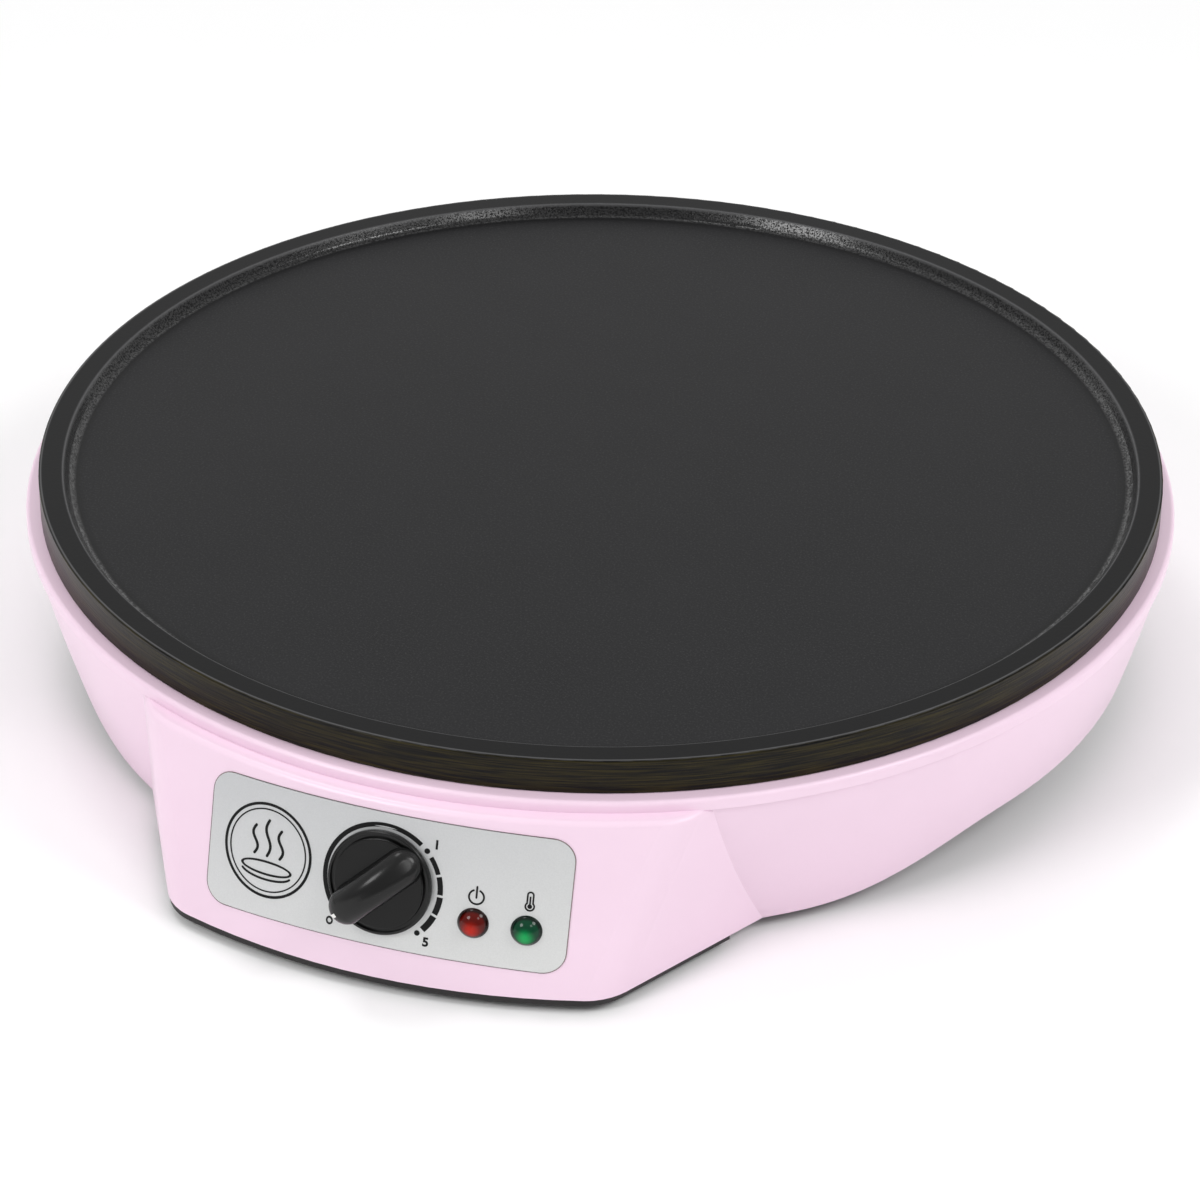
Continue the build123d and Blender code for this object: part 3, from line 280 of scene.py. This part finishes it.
def abs_with_painted_sheen(plane):
    """Black ABS of the knob, moulded with a spark-eroded satin. The grip and the collar are painted a
    little greyer than the dial that lies between them, as a painted sheen on their raised shapes."""
    origin, _, _, outward = plane
    material = moulded("satin_black_abs", "#040404", 0.24, 0.5, 0.004, ior=1.54, specular=0.27)
    tree = material.node_tree
    base_colour = tree.nodes["Principled BSDF"].inputs["Base Color"]
    offset = move(tree, "SUBTRACT", place_on_piece(tree), origin)
    height = measure(tree, "DOT_PRODUCT", offset, outward)
    reach = measure(tree, "DISTANCE", offset, scale(tree, outward, height))
    grip = ramp(tree, height, DIAL_HEIGHT + 0.2, DIAL_HEIGHT + 1.6)
    collar = ramp(tree, reach, DIAL_RADIUS, DIAL_RADIUS + 0.4)
    painted_sheen = calculate(tree, "MAXIMUM", grip, collar)
    # Painted sheen: the grip and the collar are painted greyer than the dial
    tree.links.new(blend(tree, painted_sheen, base_colour.links[0].from_socket, "#171717"), base_colour)
    return material


def lacquered_aluminium():
    """Aluminium sheet under a silver lacquer: light grey, with a fine metal-flake grain. It is painted a
    shade lighter towards the foot and the lamps, as painted light."""
    material, tree, shader, place = begin_finish("lacquered_aluminium",
                                                 {"Roughness": 0.42, "Metallic": 0.35})
    flake = noise(tree, place, 0.35, 2.0)
    grain = ramp(tree, ramp(tree, flake, *MOST_NOISE), 0.0, 1.0, 0.97, 1.03)
    downward = measure(tree, "DOT_PRODUCT", place, (0.25, 0.0, -1.0))
    # Painted light: a shade lighter towards the foot and the lamps
    tint = blend(tree, ramp(tree, downward, -54.0, -2.0), "#C6C7C9", "#DDDEDD")
    tree.links.new(scale(tree, tint, grain), shader.inputs["Base Color"])
    tree.links.new(relief(tree, flake, 0.004), shader.inputs["Normal"])
    return material


def tinted_polycarbonate(name, plane, painted_pool_colour, deep, rim):
    """Clear tinted polycarbonate, moulded and polished, deep-coloured. A pool of light is painted into
    its lower half, and painted shade makes it nearly black where it turns down to its rim."""
    origin, level, up, _ = plane
    material, tree, shader, place = begin_finish(name, {
        "Roughness": 0.07, "IOR": 1.58, "Specular IOR Level": 0.2})
    offset = move(tree, "SUBTRACT", place, origin)
    across = measure(tree, "DOT_PRODUCT", offset, level)
    rise = measure(tree, "DOT_PRODUCT", offset, up)
    spot = put(tree, "CombineXYZ", {"X": across, "Y": rise}).outputs["Vector"]
    # Painted light: a pool of bright colour in the dome's lower half
    painted_light_pool = ramp(tree, measure(tree, "DISTANCE", spot, LENS_PAINTED_POOL), *LENS_PAINTED_POOL_REACH, 1.0, 0.0,
                interpolation_type="SMOOTHSTEP")
    cloud = ramp(tree, noise(tree, place, 1.5, 2.0), 0.0, 1.0, 0.85, 1.15)
    share = calculate(tree, "MULTIPLY", painted_light_pool, cloud, use_clamp=True)
    # Painted shade: nearly black where the dome turns down to its rim
    painted_rim_shade = ramp(tree, measure(tree, "LENGTH", spot), LENS_RADIUS - 1.0, LENS_RADIUS - 0.5)
    tint = blend(tree, painted_rim_shade, blend(tree, share, deep, painted_pool_colour), rim)
    tree.links.new(tint, shader.inputs["Base Color"])
    return material


def striped_sleeve(name, ground, stripe):
    """Silicone sleeve with a stripe along it, for the earth lead."""
    material, tree, shader, place = begin_finish(name, {"Roughness": 0.5, "IOR": 1.41})
    bands = put(tree, "TexWave", {"Vector": place, "Scale": 1 / 9.0, "Distortion": 0.5},
                bands_direction="DIAGONAL")
    split = ramp(tree, bands.outputs["Fac"], 0.62, 0.66)
    tree.links.new(blend(tree, split, ground, stripe), shader.inputs["Base Color"])
    return material


# ---- the control face ---------------------------------------------------------------------------

FACE_LEAN = radians(15.4)
FACE_REACH = 170.6          # plate's axis to the housing's face, FACE_FOOT above the floor
FACE_FOOT = 2.5
FASCIA_MIDDLE = 27.15       # up the face
FASCIA_PROUD = 0.2          # fascia's surface above the housing's face
FASCIA_SIZE = (94.0, 34.5)
FASCIA_CORNER = 5.6
KNOB_MIDDLE = (0.6, -0.45)
DIAL_RADIUS = 11.6          # of the flat face round the grip
DIAL_HEIGHT = 2.1
LAMP_PLACES = ((24.3, -6.85), (37.2, -6.85))
LENS_RADIUS = 3.9
LENS_PAINTED_POOL = (-0.2, -1.3, 0.0)           # middle of the pool of light painted into a lens
LENS_PAINTED_POOL_REACH = (0.2, 2.9)            # where the painted light starts to fade, and where it ends


def on_face(across, up, out=0.0):
    """Point across and up from the fascia's middle, out from its surface, all in millimetres."""
    reach = FACE_REACH - (FASCIA_MIDDLE + up) * sin(FACE_LEAN)
    flat = 1 - tan(FACE_LEAN) ** 2
    slant = reach / cos(FACE_LEAN)
    sag = (slant - sqrt(slant ** 2 - flat * across ** 2)) / flat
    forward = reach - sag * cos(FACE_LEAN)
    height = FACE_FOOT + (FASCIA_MIDDLE + up) * cos(FACE_LEAN) - sag * sin(FACE_LEAN)
    turn = atan2(across, forward)
    point = Vector((across, PLATE_AXIS - forward, height))
    return point + face_outward(turn) * (FASCIA_PROUD + out)


def face_outward(turn):
    """Direction out of the face, turned from straight forward about the plate's axis."""
    return Vector((sin(turn) * cos(FACE_LEAN), -cos(turn) * cos(FACE_LEAN), sin(FACE_LEAN)))


def face_frame(across, up):
    """Origin, level direction, upward direction and outward direction of a place on the fascia."""
    origin = on_face(across, up)
    turn = atan2(origin.x, PLATE_AXIS - origin.y)
    outward = face_outward(turn)
    level = Vector((cos(turn), sin(turn), 0))
    return origin, level, outward.cross(level), outward


def add_piece(name, mesh, material, body):
    """Object of a finished mesh that rides on a body."""
    mesh.materials.clear()
    mesh.materials.append(material)
    piece = bpy.data.objects.new(name, mesh)
    bpy.context.scene.collection.objects.link(piece)
    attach(piece, body)


def wrap_on_face(name, flat, low, high, material):
    """Lays a flat curve or text, drawn in face millimetres, on the fascia as a closed layer."""
    flat.dimensions = "2D"
    flat.fill_mode = "BOTH"
    flat.extrude = 0.5          # any thickness, since both layers are laid anew
    drawing = bpy.data.objects.new(name + "_drawing", flat)
    bpy.context.scene.collection.objects.link(drawing)
    drawn = drawing.evaluated_get(bpy.context.evaluated_depsgraph_get())
    mesh = bpy.data.meshes.new_from_object(drawn)
    bpy.data.objects.remove(drawing)
    mesh.name = name
    shape = bmesh.new()
    shape.from_mesh(mesh)
    bmesh.ops.remove_doubles(shape, verts=shape.verts, dist=0.001)
    for vertex in shape.verts:
        layer = low if vertex.co.z < 0 else high
        vertex.co = on_face(vertex.co.x, vertex.co.y, layer) * MM
    bmesh.ops.recalc_face_normals(shape, faces=shape.faces)
    shape.to_mesh(mesh)
    shape.free()
    add_piece(name, mesh, material, "base")


INK_LOW, INK_HIGH = -0.12, 0.08     # a printed layer, its foot sunk in the lacquer
DIGIT_SHARE = 0.72                  # a digit's height as a share of the font's size
DIGIT_WEIGHT = 0.11                 # how far a digit's strokes are widened


def print_loops(name, loops, ink, low=INK_LOW, high=INK_HIGH):
    """Printed mark whose outlines are closed loops; a loop inside another is a hole."""
    flat = bpy.data.curves.new(name, "CURVE")
    for loop in loops:
        spline = flat.splines.new("POLY")
        spline.points.add(len(loop) - 1)
        for point, (across, up) in zip(spline.points, loop):
            point.co = (across, up, 0.0, 1.0)
        spline.use_cyclic_u = True
    wrap_on_face(name, flat, low, high, ink)


def print_number(name, number, across, up, height, ink):
    """Printed number; across is its left edge and up its foot."""
    flat = bpy.data.curves.new(name, "FONT")
    flat.body = number
    flat.size = height / DIGIT_SHARE
    flat.offset_x = across
    flat.offset_y = up
    flat.offset = DIGIT_WEIGHT
    wrap_on_face(name, flat, INK_LOW, INK_HIGH, ink)


def round_the_clock(centre, radius, start, end, squash=1.0, step=4.0):
    """Points on an arc, its angles in degrees clockwise from straight up."""
    count = max(2, int(abs(end - start) / step) + 1)
    angles = [radians(start + (end - start) * i / (count - 1)) for i in range(count)]
    return [(centre[0] + radius * sin(a), centre[1] + squash * radius * cos(a)) for a in angles]


def ring_loops(centre, outer, inner, squash=1.0):
    """Outline and hole of a full ring."""
    return [round_the_clock(centre, radius, 0, 356, squash) for radius in (outer, inner)]


def arc_loop(centre, outer, inner, start, end):
    """Outline of a part of a ring, from one angle to another."""
    return round_the_clock(centre, outer, start, end) + round_the_clock(centre, inner, end, start)


def oval_loop(centre, across, up):
    """Outline of an oval, from its half sizes."""
    angles = [i * pi / 30 for i in range(60)]
    return [(centre[0] + across * sin(a), centre[1] + up * cos(a)) for a in angles]


def line_loop(points, width):
    """Outline of a line with round ends through two or more points."""
    half = width / 2
    sides = ([], [])
    for index, point in enumerate(points):
        before, after = points[max(index - 1, 0)], points[min(index + 1, len(points) - 1)]
        along = Vector((after[0] - before[0], after[1] - before[1])).normalized()
        for side, sign in zip(sides, (1, -1)):
            side.append((point[0] - sign * half * along.y, point[1] + sign * half * along.x))
    caps = []
    for end, other in ((points[-1], points[-2]), (points[0], points[1])):
        facing = atan2(end[1] - other[1], end[0] - other[0])
        turns = [facing + pi / 2 - pi * i / 6 for i in range(1, 6)]
        caps.append([(end[0] + half * cos(a), end[1] + half * sin(a)) for a in turns])
    return sides[0] + caps[0] + sides[1][::-1] + caps[1]


def flask_loop(centre, bulb, neck, top):
    """Outline of a round bulb with a round-topped neck."""
    joint = 180 / pi * asin(neck / bulb)
    return (round_the_clock(centre, bulb, joint, 360 - joint)
            + round_the_clock((centre[0], top - neck), neck, -90, 90, step=15.0))


EDGE_SPACING = 3.0          # the fascia's long edges follow its curve, so they have points along them


def rounded_rectangle(width, height, corner):
    """Outline of a rectangle with round corners."""
    loop = []
    for turn, (side, level) in zip((0, 90, 180, 270), ((1, 1), (1, -1), (-1, -1), (-1, 1))):
        centre = (side * (width / 2 - corner), level * (height / 2 - corner))
        loop += round_the_clock(centre, corner, turn, turn + 90, step=10.0)
    spaced = []
    for start, end in zip(loop, loop[1:] + loop[:1]):
        count = max(1, int(Vector((end[0] - start[0], end[1] - start[1])).length / EDGE_SPACING))
        spaced += [(start[0] + (end[0] - start[0]) * i / count,
                    start[1] + (end[1] - start[1]) * i / count) for i in range(count)]
    return spaced


# ---- printing on the fascia ---------------------------------------------------------------------

SCALE_MIDDLE = (0.73, -0.78)
SCALE_BAND = (15.43, 14.26)             # outer and inner radius of the dial's scale
SCALE_SWEEP = (-137.0, 38.5)            # the long arc, clockwise from straight up
HEAT_STEPS = 4
HEAT_SWEEP = (53.5, 131.5)
HEAT_SPREAD = (0.0, 0.45)               # how far the first and last step reach past the arc
HEAT_GAP = 2.5                          # degrees
SCALE_DOTS = ((11.54, 9.54), (10.78, -11.88))
DOT_RADIUS = 0.7
OFF_MARK = (-11.95, -13.46)
ZERO_RING = (0.92, 0.5)                 # outer and inner half width of the 0
ZERO_SQUASH = 1.2                       # its height over its width
LOW_HEAT_MARK = (13.0, 10.5)
FULL_HEAT_MARK = (12.3, -14.9)
NUMBER_HEIGHT = 2.3
STANDBY_MIDDLE = (24.56, -0.06)
STANDBY_RING = (2.05, 1.6)
STANDBY_GAP = 20                        # degrees to either side of the stem
STANDBY_STEM = (-0.2, 2.65)             # foot and top, from the ring's middle
THERMOMETER_BULB = (37.42, -0.59)
# Radius of the bulb, half width of the neck and top, of the glass outside and inside and of the filling
THERMOMETER_GLASS = ((1.25, 0.9, 3.28), (0.85, 0.5, 2.88))
THERMOMETER_FILLING = (0.56, 0.2, 2.0)
BADGE_MIDDLE = (-30.3, 0.1)
BADGE_THIN_RING = (10.8, 10.45)
BADGE_THICK_RING = (12.3, 11.6)
DISH_OVALS = ((7.2, 1.9), (6.5, 1.35))  # half sizes of the hot plate's outside and inside
DISH_DROP = 4.6                         # below the badge's middle
HEAT_WAVES = ((-3.6, 7.2), (0.0, 9.2), (3.6, 7.2))      # off the badge's middle, and height
WAVE_SWING = 0.75
CURVE_POINTS = 21


def print_dial_scale(ink):
    """Scale round the knob: 0, a long arc, and four steps of heat between two dots."""
    outer, inner = SCALE_BAND
    print_loops("scale_arc", [arc_loop(SCALE_MIDDLE, outer, inner, *SCALE_SWEEP)], ink)
    step = (HEAT_SWEEP[1] - HEAT_SWEEP[0] + HEAT_GAP) / HEAT_STEPS
    for index in range(HEAT_STEPS):
        start = HEAT_SWEEP[0] + index * step
        spread = HEAT_SPREAD[0] + (HEAT_SPREAD[1] - HEAT_SPREAD[0]) * index / (HEAT_STEPS - 1)
        bar = arc_loop(SCALE_MIDDLE, outer + spread, inner, start, start + step - HEAT_GAP)
        print_loops(f"scale_step_{index + 1}", [bar], ink)
    for index, middle in enumerate(SCALE_DOTS):
        dot = round_the_clock(middle, DOT_RADIUS, 0, 345, step=15.0)
        print_loops(f"scale_dot_{index + 1}", [dot], ink)
    print_loops("scale_zero", ring_loops(OFF_MARK, *ZERO_RING, squash=ZERO_SQUASH), ink)
    print_number("scale_low_number", "1", *LOW_HEAT_MARK, NUMBER_HEIGHT, ink)
    print_number("scale_full_number", "5", *FULL_HEAT_MARK, NUMBER_HEIGHT, ink)


def print_lamp_signs(ink):
    """Standby sign over the red lamp and a thermometer over the green one."""
    ring = arc_loop(STANDBY_MIDDLE, *STANDBY_RING, STANDBY_GAP, 360 - STANDBY_GAP)
    print_loops("standby_ring", [ring], ink)
    stem = [(STANDBY_MIDDLE[0], STANDBY_MIDDLE[1] + rise) for rise in STANDBY_STEM]
    print_loops("standby_stem", [line_loop(stem, 0.46)], ink)
    glass = [flask_loop(THERMOMETER_BULB, *sizes) for sizes in THERMOMETER_GLASS]
    print_loops("thermometer_outline", glass, ink)
    print_loops("thermometer_fill", [flask_loop(THERMOMETER_BULB, *THERMOMETER_FILLING)], ink)


def print_badge(ink):
    """Round sign of a hot plate with three waves of heat, framed by a thin and a thick ring."""
    across, up = BADGE_MIDDLE
    print_loops("badge_thin_ring", ring_loops(BADGE_MIDDLE, *BADGE_THIN_RING), ink)
    print_loops("badge_thick_ring", ring_loops(BADGE_MIDDLE, *BADGE_THICK_RING), ink)
    dish = (across, up - DISH_DROP)
    print_loops("badge_dish", [oval_loop(dish, *sizes) for sizes in DISH_OVALS], ink)
    last = CURVE_POINTS - 1
    turns = [radians(-75 + 150 * i / last) for i in range(CURVE_POINTS)]
    foot = [(dish[0] + 6.9 * sin(a), dish[1] - 0.9 - 2.1 * cos(a)) for a in turns]
    print_loops("badge_dish_foot", [line_loop(foot, 0.55)], ink)
    for index, (offset, reach) in enumerate(HEAT_WAVES):
        wave = [(across + offset + WAVE_SWING * sin(2 * pi * t / last), up - 1.4 + reach * t / last)
                for t in range(CURVE_POINTS)]
        print_loops(f"badge_heat_wave_{index + 1}", [line_loop(wave, 0.7)], ink)


SEAM_EDGES = (0.16, -0.05)              # outside and inside of the fascia's edge
SEAM_LOW, SEAM_HIGH = -0.75, 0.01


def lay_fascia_seam(seam_shade):
    """Dark strip laid in the shallow pocket round the fascia's edge, as painted shade of the gap."""
    width, height = FASCIA_SIZE
    loops = [rounded_rectangle(width + 2 * edge, height + 2 * edge, FASCIA_CORNER + edge)
             for edge in SEAM_EDGES]
    print_loops("fascia_seam", loops, seam_shade, low=SEAM_LOW, high=SEAM_HIGH)


# ---- the knob's index ---------------------------------------------------------------------------

OFF_ANGLE = radians(133.5)          # pointer at 0, anticlockwise from straight up
INDEX_WIDTH = 1.0
INDEX_CENTRE = (9.5, 5.0)           # inside the pointer's nose: along it, and out from the fascia
INDEX_SWEEP = (-35, 69)             # degrees from straight along the pointer, towards outward
INDEX_STEP = 4                      # degrees
INDEX_SHARES = (-0.5, -0.17, 0.17, 0.5)     # of its width, where the line has points
INDEX_LAYERS = (0.06, -0.08)        # its face above the knob's surface, and its foot below
RAY_START = 8                       # outside the pointer's nose, from INDEX_CENTRE


def lay_knob_index(paint):
    """White index line that runs up the pointer's nose and over its edge."""
    origin, level, up, outward = face_frame(*KNOB_MIDDLE)
    along = -sin(OFF_ANGLE) * level + cos(OFF_ANGLE) * up
    sideways = outward.cross(along)
    surface = BVHTree.FromObject(nodes["control_knob"], bpy.context.evaluated_depsgraph_get())
    centre = origin + along * INDEX_CENTRE[0] + outward * INDEX_CENTRE[1]
    shape = bmesh.new()
    rows = []
    for degree in range(INDEX_SWEEP[0], INDEX_SWEEP[1] + 1, INDEX_STEP):
        ray = along * cos(radians(degree)) + outward * sin(radians(degree))
        row = []
        for share in INDEX_SHARES:
            start = centre + sideways * (share * INDEX_WIDTH) + ray * RAY_START
            hit, normal, _, _ = surface.ray_cast(start * MM, -ray)
            row.append([shape.verts.new(hit + normal * lift * MM) for lift in INDEX_LAYERS])
        rows.append(row)
    last = len(INDEX_SHARES) - 1
    for first, second in zip(rows, rows[1:]):
        for left in range(last):
            for layer in (0, 1):
                shape.faces.new([first[left][layer], first[left + 1][layer],
                                 second[left + 1][layer], second[left][layer]])
        for edge in (0, last):
            shape.faces.new([first[edge][0], second[edge][0], second[edge][1], first[edge][1]])
    for row in (rows[0], rows[-1]):
        for left in range(last):
            shape.faces.new([row[left][0], row[left + 1][0], row[left + 1][1], row[left][1]])
    bmesh.ops.recalc_face_normals(shape, faces=shape.faces)
    mesh = bpy.data.meshes.new("knob_index")
    shape.to_mesh(mesh)
    shape.free()
    add_piece("knob_index", mesh, paint, "knob")


# ---- the studio ---------------------------------------------------------------------------------

ROOM_BRIGHTEST = (radians(198.8), radians(30.0))        # azimuth and elevation
ROOM_STRENGTH = (0.25, 0.85)                            # darkest and brightest side
FLOOR_SIZE = 12.0                                       # metres
# Azimuth and elevation in degrees, distance and size in metres, and power
SOFTBOXES = (
    ("left_softbox", -30, 38, 1.7, 0.6, 7.8),
    ("right_softbox", 82, 44, 1.7, 0.6, 7.6),
    ("top_light", -115, 68, 1.7, 0.5, 3.5),
    ("front_light", 50, 40, 1.6, 0.4, 2.0),
)


def lay_floor():
    """Plain pale floor of matt white paper: even, with no gloss."""
    shape = bmesh.new()
    bmesh.ops.create_grid(shape, x_segments=8, y_segments=8, size=FLOOR_SIZE)
    mesh = bpy.data.meshes.new("studio_floor")
    shape.to_mesh(mesh)
    shape.free()
    floor = bpy.data.objects.new("studio_floor", mesh)
    bpy.context.scene.collection.objects.link(floor)
    material, tree, shader, place = begin_finish("white_paper", {"Roughness": 0.9, "IOR": 1.45})
    tint = blend(tree, noise(tree, place, 60.0, 2.0), "#FAFAFA", "#FCFCFC")
    tree.links.new(tint, shader.inputs["Base Color"])
    mesh.materials.append(material)


def light_studio():
    """Pale room, brightest low behind the appliance, with two softboxes and two smaller lights."""
    world = bpy.data.worlds.new("studio")
    world.use_nodes = True
    tree = world.node_tree
    tree.nodes.clear()
    around = put(tree, "TexCoord").outputs["Generated"]
    towards = measure(tree, "DOT_PRODUCT", around, direction(*ROOM_BRIGHTEST))
    strength = ramp(tree, towards, -1.0, 1.0, *ROOM_STRENGTH)
    room = put(tree, "Background", {"Color": (1.0, 1.0, 1.0, 1.0), "Strength": strength})
    put(tree, "OutputWorld", {"Surface": room.outputs["Background"]})
    bpy.context.scene.world = world
    for softbox in SOFTBOXES:
        hang_softbox(*softbox)
    bpy.context.scene.view_settings.view_transform = "Standard"


# ---- putting it together ------------------------------------------------------------------------

def dress_nodes():
    """Gives every node of the frame its real finish."""
    # Polished ABS moulding: an even light lilac pink with a soft gloss
    pink_abs = moulded("moulded_pink_abs", "#F4D8EA", 0.31, 6.0, 0.004, drift=0.012, ior=1.54)
    # Black polypropylene, plain and a little waxy
    cover_pp = moulded("black_polypropylene", "#1C191A", 0.45, 0.7, 0.02, ior=1.49)
    # Soft black PVC of the cord bush, and nitrile rubber of the feet: matt and slightly grey
    bush_pvc = moulded("soft_black_pvc", "#202021", 0.55, 0.8, 0.03, ior=1.53)
    foot_rubber = moulded("black_nitrile_rubber", "#242424", 0.75, 0.6, 0.04, ior=1.52)
    # Milky polyamide of the terminal block and black polyamide of the lamp holders
    block_polyamide = moulded("milky_polyamide", "#E4E0D2", 0.42, 0.8, 0.01, ior=1.53)
    holder_polyamide = moulded("black_polyamide", "#1E1E1F", 0.5, 0.6, 0.02, ior=1.53)
    # Brown phenolic of the thermostat, steatite beads, and silicone sleeving of the leads
    phenolic = moulded("brown_phenolic", "#4A3020", 0.4, 0.9, 0.02, drift=0.15, ior=1.6)
    steatite = moulded("unglazed_steatite", "#E9E4D6", 0.7, 0.4, 0.03, ior=1.55)
    glass_sleeve = moulded("varnished_glass_sleeve", "#DCD8C8", 0.6, 0.5, 0.06, drift=0.1)
    brown_sleeve = moulded("brown_silicone", "#5B3320", 0.5, 0.8, 0.01, ior=1.41)
    blue_sleeve = moulded("blue_silicone", "#2F5CA8", 0.5, 0.8, 0.01, ior=1.41)
    white_sleeve = moulded("white_silicone", "#E6E6E2", 0.5, 0.8, 0.01, ior=1.41)
    earth_sleeve = striped_sleeve("earth_silicone", "#3F8F3A", "#E2D02C")
    # Zinc plating: bluish white with faint rubbed marks; aluminised sheet: bright with long roll lines
    zinc = metal("zinc_plated_steel", "#C9CCD0", "#AEB2B8", 0.36, 1.6, 0.006)
    bright_sheet = metal("aluminised_sheet", "#DADBDB", "#C2C4C6", 0.35, 3.0, 0.01, (1.0, 0.06, 1.0))
    # Steel sheath of the element, darkened by heat in straw and blue-grey patches; drawn copper, stamped
    # brass and ground steel keep the marks of their making
    sheath = metal("heat_darkened_sheath", "#6E645A", "#4E4E55", 0.42, 6.0, 0.02)
    copper = metal("drawn_copper", "#C98A62", "#B27250", 0.36, 2.0, 0.006)
    brass = metal("stamped_brass", "#C9A75A", "#B08F48", 0.37, 1.8, 0.006)
    ground_steel = metal("ground_steel", "#BDBDBC", "#A6A7A8", 0.36, 1.0, 0.01, (1.0, 1.0, 0.15))
    # Glass of the neon lamps, drawn and fused, warm from the gas
    neon_glass = moulded("clear_neon_glass", "#E9B58C", 0.05, 2.0, 0.002, ior=1.5)
    # Each dome's first colour is its painted pool of light, and its last its painted shade at the rim
    red_dome = tinted_polycarbonate("red_polycarbonate", face_frame(*LAMP_PLACES[0]),
                                    "#B81C05", "#560A04", "#1A0402")
    green_dome = tinted_polycarbonate("green_polycarbonate", face_frame(*LAMP_PLACES[1]),
                                      "#00A052", "#033D26", "#01150E")
    finishes = {
        sprayed_nonstick(): ("baking_plate",),
        pink_abs: ("housing",),
        lacquered_aluminium(): ("control_fascia",),
        abs_with_painted_sheen(face_frame(*KNOB_MIDDLE)): ("control_knob",),
        cover_pp: ("bottom_cover",),
        bush_pvc: ("cord_bush",),
        foot_rubber: ("front_feet", "rear_feet"),
        block_polyamide: ("terminal_block",),
        holder_polyamide: ("lamp_holders",),
        phenolic: ("thermostat",),
        steatite: ("element_beads",),
        glass_sleeve: ("thermal_fuse",),
        brown_sleeve: ("lead_live", "lead_switched"),
        blue_sleeve: ("lead_neutral_supply", "lead_neutral_return"),
        white_sleeve: ("lamp_leads",),
        earth_sleeve: ("lead_earth",),
        zinc: ("element_tabs", "element_saddles", "element_saddle_screws", "fuse_saddle",
               "fuse_saddle_screws", "bulb_saddle", "bulb_saddle_screws", "spacer_sleeves",
               "plate_screws", "cover_screws", "terminal_block_screw", "earth_tag", "earth_screw"),
        bright_sheet: ("heat_reflector",),
        sheath: ("heating_element",),
        copper: ("sensor_bulb", "capillary_tube"),
        brass: ("thermostat_tabs", "thermostat_nut"),
        ground_steel: ("thermostat_shaft",),
        neon_glass: ("neon_lamps",),
        red_dome: ("red_lens",),
        green_dome: ("green_lens",),
    }
    for material, names in finishes.items():
        for name in names:
            for place in nodes[name].material_slots:
                place.material = material


place_camera()
light_studio()
lay_floor()
dress_nodes()

# Screen-printing ink, thin and black with a dull gloss; white index paint, laid on by brush; and a
# brownish grey strip in the seam round the fascia, painted as the shade of its gap
screen_ink = moulded("black_screen_ink", "#0C0C0D", 0.5, 0.4, 0.002, specular=0.2)
index_paint = moulded("white_index_paint", "#F2F2EE", 0.4, 0.4, 0.004)
seam_shade_strip = moulded("dark_seam_shade", "#7A6C6C", 0.6, 0.4, 0.004)
print_dial_scale(screen_ink)
print_lamp_signs(screen_ink)
print_badge(screen_ink)
lay_fascia_seam(seam_shade_strip)
lay_knob_index(index_paint)
